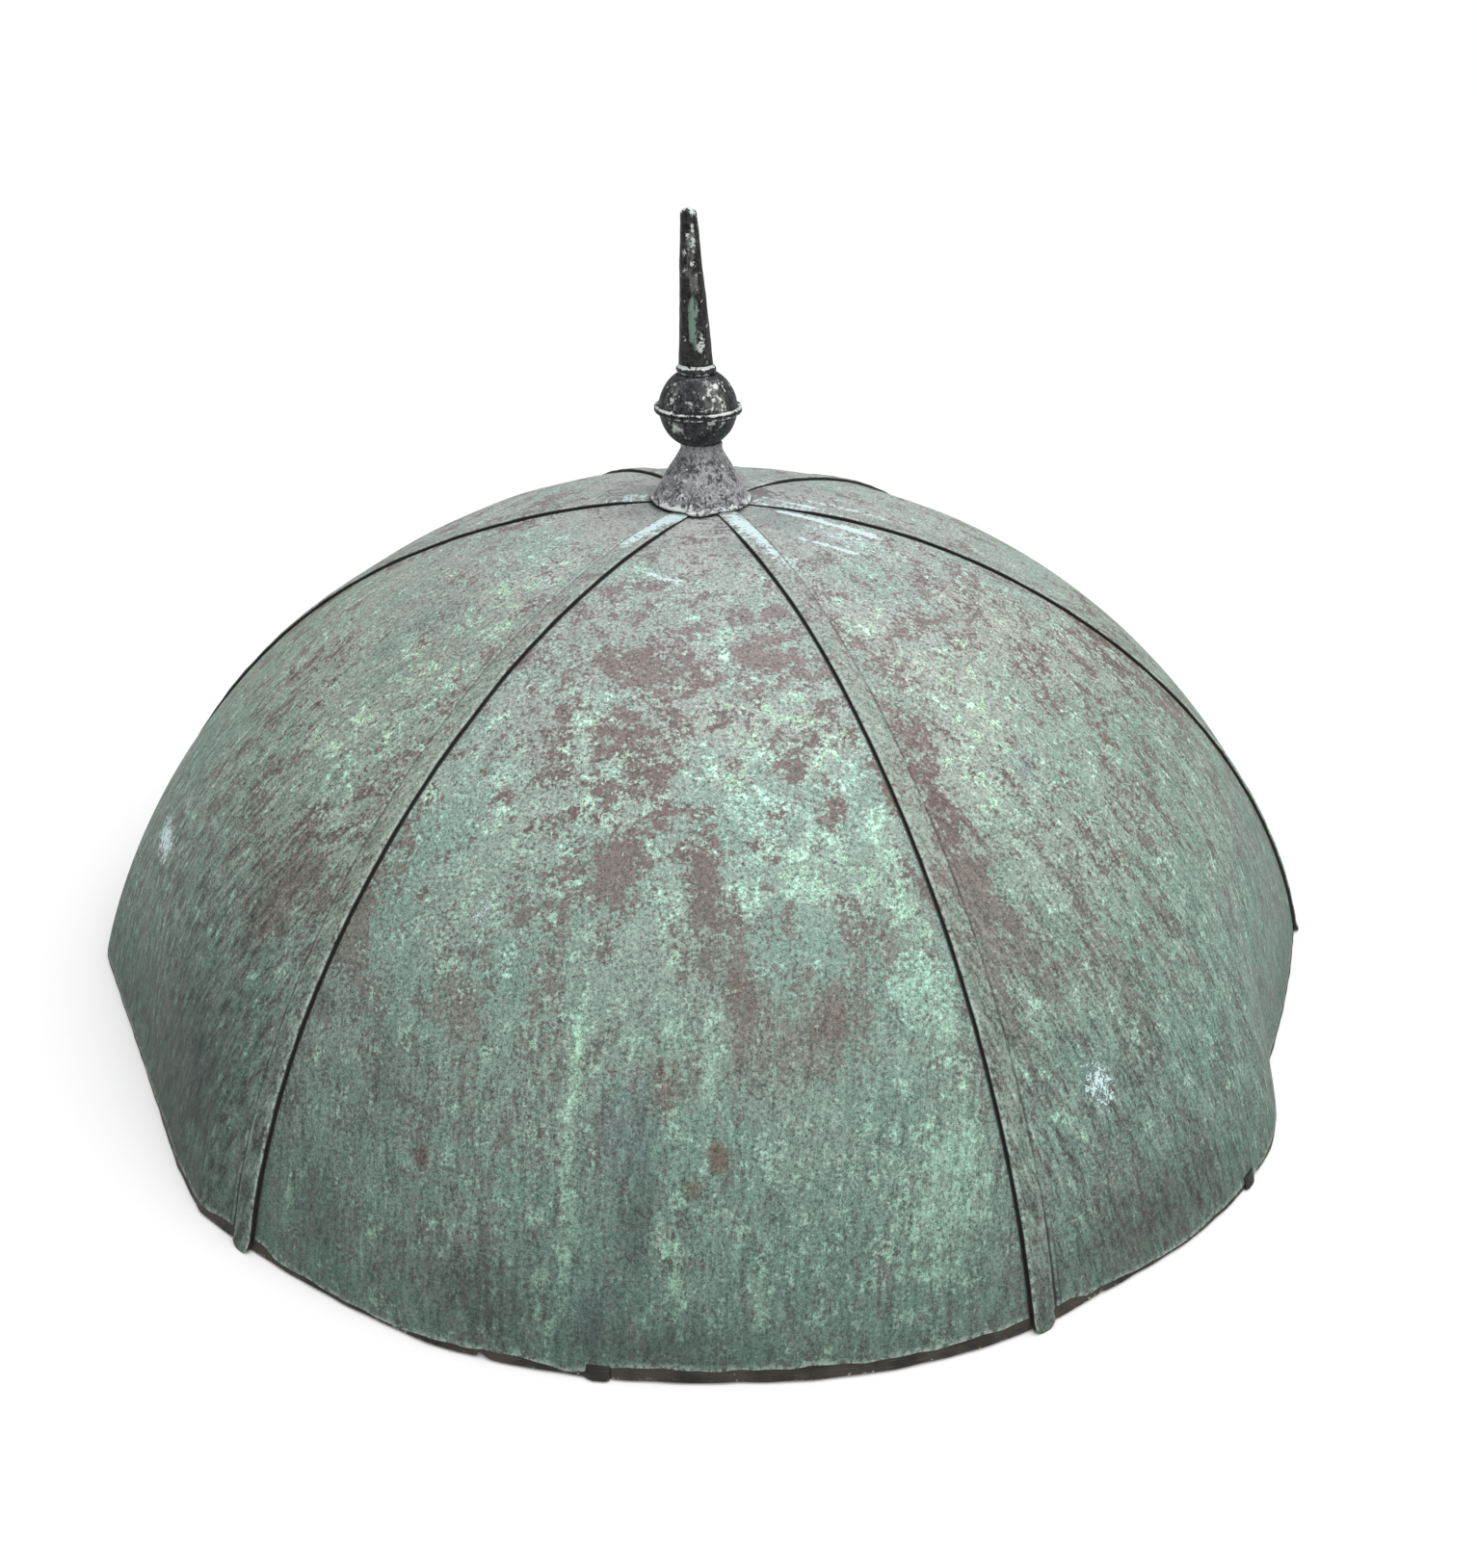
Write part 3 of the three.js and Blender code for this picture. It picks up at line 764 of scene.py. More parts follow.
# Notches torn in the band's lower edge: azimuth, half width in degrees, depth
BAND_NOTCHES = [
    (-15.2, 0.22, 6.0 * MM),
    (28.6, 0.3, 1.5 * MM),
    (47.0, 0.35, 2.0 * MM),
    (81.0, 0.3, 3.0 * MM),
    (150.0, 0.3, 3.0 * MM),
    (-110.0, 0.3, 3.5 * MM),
]


def lapping_end(inside, lap):
    """Share by which a lapping end stands proud, from the degrees inside its joint."""
    sunk = LAP_END_SINKS * smooth(-inside, -lap * LAP_END_SHARE, 0)
    return smooth(lap - inside, 0, lap * LAP_RISES_OVER) * (1 - sunk)


def band_laps(number, azimuth, start, end):
    lap = math.degrees(BAND_LAP / RIM_RADIUS)
    proud = np.zeros_like(azimuth)
    if LAP_ON[number] == "after":
        proud += lapping_end(azimuth - start, lap)
    if LAP_ON[(number + 1) % len(BAND_JOINTS)] == "before":
        proud += lapping_end(end - azimuth, lap)
    return proud


def band_piece(number):
    joint = math.degrees(BAND_JOINT / RIM_RADIUS) / 2
    ends = BAND_JOINTS + [BAND_JOINTS[0] + 360]
    start = ends[number] + joint
    end = ends[number + 1] - joint
    section = np.array([[point["height"], point["out"]] for point in BAND_SECTION]) * MM
    along = np.linspace(start, end, BAND_COLUMNS + 1)
    azimuth = np.repeat(along[:, None], len(section), axis=1)
    turn = np.radians(azimuth)
    lower = np.clip(1 - section[:, 0] / BAND_HEIGHT, 0, 1)[None, :]
    proud = band_laps(number, azimuth, start, end)
    lift = (0.25 + 0.25 * np.sin(turn * 83 + number)) * MM - BAND_LAP_DROP * proud
    for notch_at, width, depth in BAND_NOTCHES:
        lift = lift + depth * np.exp(-(degrees_from(notch_at, azimuth) / width) ** 4)
    height = section[:, 0][None, :] + lift * lower
    wander = ripple(turn, BAND_WAVES) * lower
    out = section[:, 1][None, :] + BAND_LAP_RISE * proud + wander - BAND_INSET * (1 - proud)
    angle = angle_at_height(height)
    outer = shell_point(azimuth, angle, out, True)
    inner = shell_point(azimuth, angle, np.full_like(azimuth, -BAND_THICKNESS), True)
    flow = np.stack([turn * RIM_RADIUS, height, np.full_like(turn, number * BAND_FLOW_STEP)], -1)
    # Painted highlight with rubbed chips: pale lines along the band's top and bottom edges
    worn_and_highlight = np.repeat(((lower > 0.85) | (lower < 0.05)).astype(float), len(along), axis=0)
    wear_and_painted_light = np.stack([worn_and_highlight, proud, np.zeros_like(worn_and_highlight)], -1)
    metal = np.ones((BAND_COLUMNS, len(section) - 1), bool)
    return plate(f"rim_edging_{number + 1}", outer, inner, metal, dict(flow=flow, wear_and_painted_light=wear_and_painted_light))


# Finial

def catmull(points, steps):
    """A smooth line through the outline's points."""
    points = np.array(points)
    padded = np.concatenate([[2 * points[0] - points[1]], points, [2 * points[-1] - points[-2]]])
    line = []
    for i in range(len(points) - 1):
        p0, p1, p2, p3 = padded[i:i + 4]
        for t in np.arange(steps) / steps:
            line.append(0.5 * (
                2 * p1 + (p2 - p0) * t + (2 * p0 - 5 * p1 + 4 * p2 - p3) * t**2
                + (3 * p1 - p0 - 3 * p2 + p3) * t**3
            ))
    line.append(points[-1])
    return np.array(line)


def arc(radius, start, end, steps):
    turn = np.radians(np.linspace(start, end, steps + 1))
    return np.stack([radius * np.cos(turn), radius * np.sin(turn)], -1)


def lathe_faces(rows):
    """Faces round rings of points, closed by the last two points at the bottom and top of the axis."""
    number = np.arange(rows * TURNED_SEGMENTS).reshape(rows, TURNED_SEGMENTS)
    after = np.roll(number, -1, axis=1)
    faces = np.stack([number[:-1], after[:-1], after[1:], number[1:]], -1).reshape(-1, 4).tolist()
    bottom, top = rows * TURNED_SEGMENTS, rows * TURNED_SEGMENTS + 1
    faces += [[bottom, b, a] for a, b in zip(number[0], after[0])]
    faces += [[top, a, b] for a, b in zip(number[-1], after[-1])]
    return faces


def turned(name, outline, foot, x, wear_and_painted_light, lean=0.0, uneven=0.0, tongue=None, scuffs=(), stains=()):
    """A turned piece on its foot, slightly uneven, from an outline that starts and ends on the axis."""
    outline = np.asarray(outline)
    turn = np.linspace(0, 2 * math.pi, TURNED_SEGMENTS, endpoint=False)
    radius = np.repeat(outline[:, :1], TURNED_SEGMENTS, axis=1)
    height = np.repeat(outline[:, 1:], TURNED_SEGMENTS, axis=1)
    wobble = np.sin(3 * turn + foot * 40 + height * 60) + 0.7 * np.sin(7 * turn - height * 110)
    wobble = wobble + 0.6 * np.sin(13 * turn + height * 240 + foot * 90)
    radius = radius + uneven * wobble * (radius > 4 * MM)
    degrees = (np.degrees(turn) + 180) % 360 - 180
    if tongue is not None:
        lobe = np.exp(-((degrees - tongue["azimuth"]) / tongue["width"]) ** 4)[None, :]
        radius = radius + tongue["length"] * lobe * tongue["rows"][:, None]
    px = x + radius * np.sin(turn)
    if lean is not None:
        px = px - SPIKE_LEAN * (height + lean)
    grid = np.stack([px, -radius * np.cos(turn), foot + height], -1)
    marks = np.stack([
        np.repeat(np.asarray(wear_and_painted_light)[:, None], TURNED_SEGMENTS, axis=1),
        lathe_patches(scuffs, degrees, height),
        lathe_patches(stains, degrees, height),
    ], -1)
    points = np.concatenate([grid[1:-1].reshape(-1, 3), grid[[0, -1], 0]])
    values = np.concatenate([marks[1:-1].reshape(-1, 3), marks[[0, -1], 0]])
    return mesh_object(name, points, lathe_faces(len(outline) - 2), dict(wear_and_painted_light=values))


def lathe_patches(patches, degrees, height):
    field = np.zeros_like(height)
    for patch in patches:
        across = (degrees - patch["azimuth"]) / patch["width"]
        along = (height - patch["height"]) / patch["tall"]
        field += patch["amount"] * np.exp(-(across**4) - along**4)
    return field


def finial_heights():
    seat = CROWN_Z + FINIAL_SEAT
    neck = seat + BASE_HEIGHT
    neck_elevation = math.degrees(math.acos(NECK_RADIUS / BALL_RADIUS))
    collar_elevation = math.degrees(math.acos(COLLAR_RADIUS / BALL_RADIUS))
    ball = neck + JOINT_GAP + BALL_RADIUS * math.sin(math.radians(neck_elevation))
    collar = ball + BALL_RADIUS * math.sin(math.radians(collar_elevation)) + JOINT_GAP
    spike = collar + COLLAR_HEIGHT + JOINT_GAP
    return dict(
        seat=seat, neck=neck, ball=ball, collar=collar, spike=spike,
        neck_elevation=neck_elevation, collar_elevation=collar_elevation,
    )


def base_piece(at):
    flare = catmull([
        (BASE_RADIUS * 1.008, BASE_HEIGHT * 0.011),
        (BASE_RADIUS * 0.96, BASE_HEIGHT * 0.055),
        (BASE_RADIUS * 0.79, BASE_HEIGHT * 0.31),
        (BASE_RADIUS * 0.63, BASE_HEIGHT * 0.55),
        (BASE_RADIUS * 0.525, BASE_HEIGHT * 0.69),
        (NECK_RADIUS * 1.1, BASE_HEIGHT * 0.81),
        (NECK_RADIUS, BASE_HEIGHT * 0.9),
        (NECK_RADIUS, BASE_HEIGHT * 0.985),
    ], 6)
    outline = np.concatenate([
        [(0, 0), (BASE_RADIUS * 0.92, 0)],
        [(BASE_RADIUS * 0.95, -BASE_LIP_DROP), (BASE_RADIUS, -BASE_LIP_DROP)],
        flare,
        [(NECK_RADIUS * 0.97, BASE_HEIGHT), (0, BASE_HEIGHT)],
    ])
    share = outline[:, 1] / BASE_HEIGHT
    wear_and_painted_light = 1 - smooth(share, 0.0, 0.14)
    rows = np.where((outline[:, 0] > BASE_RADIUS * 0.93) & (share < 0.06), 1.0, 0.0)
    tongue = dict(azimuth=-4.0, width=13.0, length=9 * MM, rows=rows)
    scuffs = [
        dict(azimuth=-45, height=0.030, width=22, tall=0.030, amount=0.7),
        dict(azimuth=20, height=0.040, width=16, tall=0.024, amount=0.5),
        dict(azimuth=55, height=0.050, width=14, tall=0.012, amount=0.9),
    ]
    return turned("zinc_base", outline, at["seat"], FINIAL_X, wear_and_painted_light, None, BASE_UNEVENNESS, tongue, scuffs)


def ball_pieces(at):
    lip = math.degrees(math.asin(BEAD_HALF * 0.75 / BALL_RADIUS))
    split = JOINT_GAP / 2
    bead = [
        (BEAD_RADIUS - 0.9 * MM, split),
        (BEAD_RADIUS - 0.2 * MM, BEAD_HALF * 0.18),
        (BEAD_RADIUS, BEAD_HALF * 0.38),
        (BEAD_RADIUS - 0.5 * MM, BEAD_HALF * 0.60),
        (BEAD_RADIUS - 1.9 * MM, BEAD_HALF * 0.74),
        (BALL_RADIUS + 1.0 * MM, BEAD_HALF * 0.74),
    ]
    bead_wear = [0.0, 0.1, 0.7, 1.0, 0.8, 0.2]
    halves = []
    for elevation in (at["neck_elevation"], at["collar_elevation"]):
        dome = arc(BALL_RADIUS, lip, elevation, 14)
        pole = (0, BALL_RADIUS * math.sin(math.radians(elevation)))
        outline = np.concatenate([[(0, split)], bead, dome, [pole]])
        wear_and_painted_light = np.zeros(len(outline))
        wear_and_painted_light[1:len(bead) + 1] = bead_wear
        halves.append((outline, wear_and_painted_light))
    (lower, lower_wear), (upper, upper_wear) = halves
    lower = lower[::-1] * np.array([1, -1])
    x = FINIAL_X + BALL_SHIFT
    upper_scuffs = [
        dict(azimuth=32, height=0.022, width=24, tall=0.017, amount=1.0),
        dict(azimuth=-48, height=0.018, width=14, tall=0.018, amount=0.8),
        dict(azimuth=-5, height=0.014, width=9, tall=0.008, amount=0.5),
    ]
    lower_scuffs = [
        dict(azimuth=-32, height=-0.016, width=14, tall=0.008, amount=1.0),
        dict(azimuth=25, height=-0.012, width=18, tall=0.006, amount=0.6),
    ]
    foot = at["ball"]
    lower_wear = lower_wear[::-1] * LOWER_BEAD_WEAR
    return (
        turned("zinc_ball_lower", lower, foot, x, lower_wear, None, BALL_UNEVENNESS, scuffs=lower_scuffs),
        turned("zinc_ball_upper", upper, foot, x, upper_wear, None, BALL_UNEVENNESS, scuffs=upper_scuffs),
    )


def collar_piece(at):
    ring = arc(COLLAR_HEIGHT * 0.42, -85, 85, 12) * np.array([0.75, 1])
    ring = ring + np.array([COLLAR_RADIUS - COLLAR_HEIGHT * 0.315, COLLAR_HEIGHT * 0.45])
    fillet = [(SPIKE_RADIUS + 0.8 * MM, COLLAR_HEIGHT * 0.9), (SPIKE_RADIUS + 0.3 * MM, COLLAR_HEIGHT)]
    outline = np.concatenate([[(0, 0)], ring, fillet, [(0, COLLAR_HEIGHT)]])
    # Painted highlight: pale chips gather on the ring's upper and lower edges
    across = np.abs(outline[:, 1] / COLLAR_HEIGHT - 0.45)
    wear_and_painted_light = smooth(across, 0.1, 0.38)
    return turned("zinc_collar", outline, at["collar"], FINIAL_X + SPIKE_SHIFT, wear_and_painted_light, 0.0, COLLAR_UNEVENNESS)


def spike_piece(at):
    shoulder = SPIKE_HEIGHT - SPIKE_TIP_RADIUS * 0.75
    side = np.linspace([SPIKE_RADIUS, 0], [SPIKE_TIP_RADIUS, shoulder], 60)
    tip = arc(SPIKE_TIP_RADIUS, 8, 80, 8) * np.array([1, 0.75]) + np.array([0, shoulder])
    outline = np.concatenate([[(0, 0)], side, tip, [(0, SPIKE_HEIGHT)]])
    wear_and_painted_light = smooth(outline[:, 1], SPIKE_HEIGHT * 0.93, SPIKE_HEIGHT)
    scuffs = [
        dict(azimuth=-8, height=0.128, width=38, tall=0.028, amount=0.8),
        dict(azimuth=10, height=0.094, width=24, tall=0.012, amount=0.9),
        dict(azimuth=18, height=0.030, width=20, tall=0.016, amount=0.7),
        dict(azimuth=22, height=0.150, width=14, tall=0.020, amount=0.8),
    ]
    stains = [dict(azimuth=-2, height=0.054, width=26, tall=0.034, amount=1.0)]
    lean = at["spike"] - at["collar"]
    return turned(
        "zinc_spike", outline, at["spike"], FINIAL_X + SPIKE_SHIFT, wear_and_painted_light, lean, SPIKE_UNEVENNESS,
        scuffs=scuffs, stains=stains,
    )


# Materials

class Graph:
    """A material's nodes, joined by short calls."""

    def __init__(self, name):
        self.material = bpy.data.materials.new(name)
        self.material.use_nodes = True
        self.tree = self.material.node_tree
        self.tree.nodes.clear()
        self.shader = self.tree.nodes.new("ShaderNodeBsdfPrincipled")
        output = self.tree.nodes.new("ShaderNodeOutputMaterial")
        self.tree.links.new(self.shader.outputs["BSDF"], output.inputs["Surface"])

    def put(self, socket, value):
        if isinstance(value, bpy.types.NodeSocket):
            self.tree.links.new(value, socket)
        else:
            socket.default_value = value

    def attribute(self, name):
        node = self.tree.nodes.new("ShaderNodeAttribute")
        node.attribute_name = name
        return node.outputs["Vector"]

    def parts(self, vector):
        node = self.tree.nodes.new("ShaderNodeSeparateXYZ")
        self.put(node.inputs[0], vector)
        return node.outputs

    def place(self):
        return self.tree.nodes.new("ShaderNodeTexCoord").outputs["Object"]

    def vector(self, operation, a, b):
        node = self.tree.nodes.new("ShaderNodeVectorMath")
        node.operation = operation
        self.put(node.inputs[0], a)
        self.put(node.inputs[1], b)
        return node.outputs[0]

    def scaled(self, vector, scale):
        return self.vector("MULTIPLY", vector, scale)

    def shifted(self, vector, shift):
        return self.vector("ADD", vector, shift)

    def noise(self, vector, scale, detail=4.0, roughness=0.55, distortion=0.0):
        node = self.tree.nodes.new("ShaderNodeTexNoise")
        self.put(node.inputs["Vector"], vector)
        node.inputs["Scale"].default_value = scale
        node.inputs["Detail"].default_value = detail
        node.inputs["Roughness"].default_value = roughness
        node.inputs["Distortion"].default_value = distortion
        return node.outputs["Fac"]

    def math(self, operation, a, b=0.0):
        node = self.tree.nodes.new("ShaderNodeMath")
        node.operation = operation
        self.put(node.inputs[0], a)
        self.put(node.inputs[1], b)
        return node.outputs[0]

    def times(self, a, b):
        return self.math("MULTIPLY", a, b)

    def total(self, *terms):
        """Sum of terms, each a value, its factor and, where the value swings about one, its middle."""
        result = None
        for value, factor, *swing in terms:
            middle = swing[0] if swing else 0.0
            node = self.tree.nodes.new("ShaderNodeMath")
            node.operation = "MULTIPLY_ADD"
            self.put(node.inputs[0], value)
            self.put(node.inputs[1], factor)
            if result is None:
                node.inputs[2].default_value = -middle * factor
            else:
                self.put(node.inputs[2], self.math("ADD", result, -middle * factor) if middle else result)
            result = node.outputs[0]
        return result

    def step(self, value, low, high, to=1.0):
        node = self.tree.nodes.new("ShaderNodeMapRange")
        node.interpolation_type = "SMOOTHSTEP"
        self.put(node.inputs["Value"], value)
        node.inputs["From Min"].default_value = low
        node.inputs["From Max"].default_value = high
        node.inputs["To Max"].default_value = to
        return node.outputs["Result"]

    def mix(self, share, a, b, blend="MIX"):
        node = self.tree.nodes.new("ShaderNodeMix")
        node.data_type = "RGBA"
        node.blend_type = blend
        self.put(node.inputs[0], share)
        self.put(node.inputs[6], a)
        self.put(node.inputs[7], b)
        return node.outputs[2]

    def ramp(self, value, stops):
        """Colours blended along a value; each stop is a place and a colour."""
        node = self.tree.nodes.new("ShaderNodeValToRGB")
        elements = node.color_ramp.elements
        while len(elements) < len(stops):
            elements.new(1.0)
        for element, (place, shade) in zip(elements, stops):
            element.position = place
            element.color = (*shade, 1.0)
        self.put(node.inputs[0], value)
        return node.outputs["Color"]

    def grey(self, value):
        node = self.tree.nodes.new("ShaderNodeCombineColor")
        for channel in range(3):
            self.put(node.inputs[channel], value)
        return node.outputs[0]

    def blend(self, share, a, b):
        node = self.tree.nodes.new("ShaderNodeMix")
        self.put(node.inputs[0], share)
        self.put(node.inputs[2], a)
        self.put(node.inputs[3], b)
        return node.outputs[0]

    def finish(self, colour, roughness, height, depth, metallic=0.0, specular=0.4):
        bump = self.tree.nodes.new("ShaderNodeBump")
        bump.inputs["Strength"].default_value = 1.0
        bump.inputs["Distance"].default_value = depth
        self.put(bump.inputs["Height"], height)
        self.put(self.shader.inputs["Base Color"], colour)
        self.put(self.shader.inputs["Roughness"], roughness)
        self.shader.inputs["Metallic"].default_value = metallic
        self.shader.inputs["Specular IOR Level"].default_value = specular
        self.tree.links.new(bump.outputs["Normal"], self.shader.inputs["Normal"])
        return self.material


# Colours of the patina, with its painted shade and highlight; a list runs from the crown down to the rim
OXIDE_DOWN = [
    (0.0, (0.175, 0.163, 0.172)), (0.3, (0.178, 0.152, 0.148)), (0.5, (0.128, 0.097, 0.091)),
    (0.75, (0.158, 0.182, 0.166)), (1.0, (0.146, 0.188, 0.170)),
]
FILM_DOWN = [
    (0.0, (0.37, 0.395, 0.385)), (0.3, (0.325, 0.36, 0.335)), (0.55, (0.252, 0.332, 0.288)),
    (1.0, (0.190, 0.30, 0.262)),
]
# Painted shade, partly darker weathering: a multiplier that darkens the colour towards the rim
SHADE_AND_WEATHERING_DOWN = [
    (0.0, (1.0, 1.0, 1.0)), (0.5, (1.0, 1.0, 1.0)), (0.8, (0.70, 0.71, 0.70)), (1.0, (0.48, 0.49, 0.47)),
]
OXIDE_PALER = (1.18, 1.20, 1.18, 1)
FILM_COOLER = (0.80, 0.95, 0.92, 1)
STREAKS_WARMER = (1.0, 0.955, 0.93, 1)
RUST_BROWN = (0.15, 0.112, 0.100, 1)
RUBBED_GREY = (0.185, 0.175, 0.185, 1)
FLAKE_YELLOW = (0.28, 0.43, 0.29, 1)
FLAKE_BLUE = (0.26, 0.43, 0.37, 1)
FLAKE_CORE = (0.50, 0.74, 0.61, 1)
FLAKE_LOW = (0.23, 0.50, 0.40, 1)
FLAKE_RIM = (0.42, 0.55, 0.48, 1)
MINT_WASH = (0.29, 0.45, 0.37, 1)
BLUE_GREY = (0.135, 0.195, 0.205, 1)
STRIP_DARK = (0.14, 0.145, 0.128, 1)
STRIP_LIGHT = (0.25, 0.27, 0.24, 1)
PIT_BLACK = (0.05, 0.06, 0.052, 1)
# Pale for rubbed edges and painted highlight
HIGHLIGHT_AND_WORN_PALE = (0.36, 0.44, 0.39, 1)
CHALK_WHITE = (0.52, 0.66, 0.66, 1)
BARE_COPPER = (0.24, 0.105, 0.072, 1)
# Near black for painted shadow in gaps and grooves, and for grime
SHADE_AND_SOOT_BLACK = (0.008, 0.009, 0.008, 1)
UNDERSIDE_BROWN = (0.09, 0.055, 0.037, 1)


def patina_fields(g):
    """What the patina is mixed from: the sheet's own marks, and noises from clouds down to grain."""
    f = SimpleNamespace()
    f.mint, f.brown, f.blue = g.parts(g.attribute("tone"))
    f.shade_and_dirt, f.chalk, f.worn_and_highlight = g.parts(g.attribute("wear_and_painted_light"))
    f.strip, f.down, f.near_crown = g.parts(g.attribute("kind"))
    # dull is painted shade with dark stains
    f.dull, f.comb, f.rust = g.parts(g.attribute("shade_and_age"))
    f.inside = g.parts(g.attribute("side"))[0]
    f.low = g.step(f.down, 0.35, 0.85)

    place = g.place()
    f.cloud = g.noise(place, 5.0, 4, 0.55)
    f.hue = g.noise(g.shifted(place, (3.1, 1.7, 4.3)), 9.0, 5, 0.66)
    f.flake = g.noise(place, 34, 5, 0.60, 0.3)
    f.crust = g.noise(g.shifted(place, (7.3, 2.9, 1.1)), 44, 5, 0.62, 0.5)
    f.chip = g.noise(place, 115, 4, 0.64)
    f.lace = g.noise(place, 230, 3, 0.6, 1.4)
    f.speck = g.noise(place, 270, 3, 0.68)
    f.grain = g.noise(place, 620, 2, 0.6)

    flow = g.attribute("flow")
    f.drip = g.noise(g.scaled(flow, (44, 9, 1)), 1.0, 5, 0.62)
    f.hair = g.noise(g.scaled(flow, (150, 30, 1)), 1.0, 5, 0.82)
    f.brushed = g.noise(g.scaled(flow, (16, 170, 1)), 1.0, 4, 0.6)
    f.combed = g.times(g.math("SUBTRACT", f.hair, 0.5), f.comb)
    return f


def patina_cover(g, f):
    """Adds the shares that film, flakes, their bright cores and their pale rims cover."""
    lay = g.blend(g.math("MINIMUM", g.math("MAXIMUM", f.low, f.comb), 0.6), f.flake, f.drip)
    lay = g.blend(g.times(f.near_crown, 0.65), lay, f.brushed)
    patchy = g.total(
        (lay, 0.85), (1.0, 0.075), (f.cloud, 0.28, 0.5), (f.chip, 0.45, 0.5), (f.speck, 0.28, 0.5),
        (f.combed, 0.35),
    )
    film = g.total((patchy, 1.0), (1.0, 0.022), (f.mint, 0.045), (f.brown, -0.105), (f.near_crown, 0.005))
    flecks = g.total(
        (f.crust, 0.52), (f.chip, 0.34), (f.speck, 0.20), (patchy, 0.16, 0.5), (f.combed, 0.2),
        (f.mint, 0.075), (f.brown, -0.06), (f.near_crown, -0.05), (f.strip, -0.06), (f.low, -0.02),
    )
    f.film = g.step(film, 0.415, 0.525)
    f.flecks = g.step(flecks, 0.615, 0.650)
    f.cores = g.step(flecks, 0.64, 0.70)
    f.rims = g.math("SUBTRACT", g.step(flecks, 0.595, 0.612), g.step(flecks, 0.622, 0.640))


def oxide_and_film(g, f):
    oxide = g.ramp(f.down, OXIDE_DOWN)
    oxide = g.mix(g.step(f.hue, 0.38, 0.62), oxide, g.mix(1.0, oxide, OXIDE_PALER, "MULTIPLY"))
    rusty = g.step(g.total((f.rust, 0.8), (f.chip, 1.2, 0.5), (f.flake, 0.8, 0.5)), 0.25, 0.55, 0.8)
    oxide = g.mix(rusty, oxide, RUST_BROWN)
    green = g.ramp(f.down, FILM_DOWN)
    green = g.mix(g.step(f.hue, 0.40, 0.66), green, g.mix(1.0, green, FILM_COOLER, "MULTIPLY"))
    unbroken = g.math("SUBTRACT", 1.0, g.times(rusty, 0.8))
    colour = g.mix(g.times(g.times(f.film, 0.88), unbroken), oxide, green)
    rubbed = g.step(g.total((f.brushed, 1.0), (f.cloud, 0.6, 0.5), (f.hue, 0.7, 0.5)), 0.42, 0.60, 0.45)
    return g.mix(g.times(rubbed, f.near_crown), colour, RUBBED_GREY)


def flaked(g, f, colour):
    """Mint flakes over the film, mint and blue-grey washes lower down, and the strips' own tone."""
    bright = g.mix(g.step(f.hue, 0.42, 0.60), FLAKE_YELLOW, FLAKE_BLUE)
    bright = g.mix(f.cores, bright, FLAKE_CORE)
    bright = g.mix(g.times(f.low, 0.5), bright, FLAKE_LOW)
    colour = g.mix(g.times(f.flecks, 0.9), colour, bright)
    colour = g.mix(g.times(f.rims, 0.5), colour, FLAKE_RIM)
    wash = g.step(g.total((f.mint, 0.5), (f.chip, 0.9, 0.5), (f.drip, 0.5, 0.5)), 0.36, 0.70, 0.5)
    colour = g.mix(g.times(wash, f.low), colour, MINT_WASH)
    stain = g.step(g.total((f.blue, 0.7), (f.drip, 1.0, 0.5), (f.chip, 0.6, 0.5)), 0.22, 0.95, 0.75)
    colour = g.mix(stain, colour, BLUE_GREY)
    strip_tone = g.mix(g.step(f.hair, 0.38, 0.62), STRIP_DARK, STRIP_LIGHT)
    return g.mix(g.times(f.strip, 0.3), colour, strip_tone)


def weathered(g, f, colour):
    """Mottling, painted shade and darker weathering towards the rim, painted shade and dark stains in
    patches, and pits.
    """
    mottle = g.total((f.speck, 2.3, 0.5), (f.grain, 2.0, 0.5), (f.combed, 3.0), (1.0, 1.0))
    mottle = g.blend(g.times(f.near_crown, 0.5), g.math("MAXIMUM", mottle, 0.25), 1.0)
    colour = g.mix(1.0, colour, g.grey(mottle), "MULTIPLY")
    # Painted shade, partly darker weathering, towards the rim
    colour = g.mix(1.0, colour, g.ramp(f.down, SHADE_AND_WEATHERING_DOWN), "MULTIPLY")
    colour = g.mix(g.step(f.comb, 0.0, 0.8), colour, STREAKS_WARMER, "MULTIPLY")
    # Painted shade with dark stains: broad dark patches darken the colour
    shade = g.total((f.dull, 1.0), (f.drip, 0.5, 0.5), (f.chip, 0.4, 0.5))
    kept_brightness = g.math("SUBTRACT", 1.0, g.step(shade, 0.0, 1.0, 0.75))
    colour = g.mix(1.0, colour, g.grey(kept_brightness), "MULTIPLY")
    filled = g.step(g.total((f.speck, 0.6), (f.grain, 0.4)), 0.36, 0.44, 0.6)
    return g.mix(g.math("SUBTRACT", 0.6, filled), colour, PIT_BLACK)


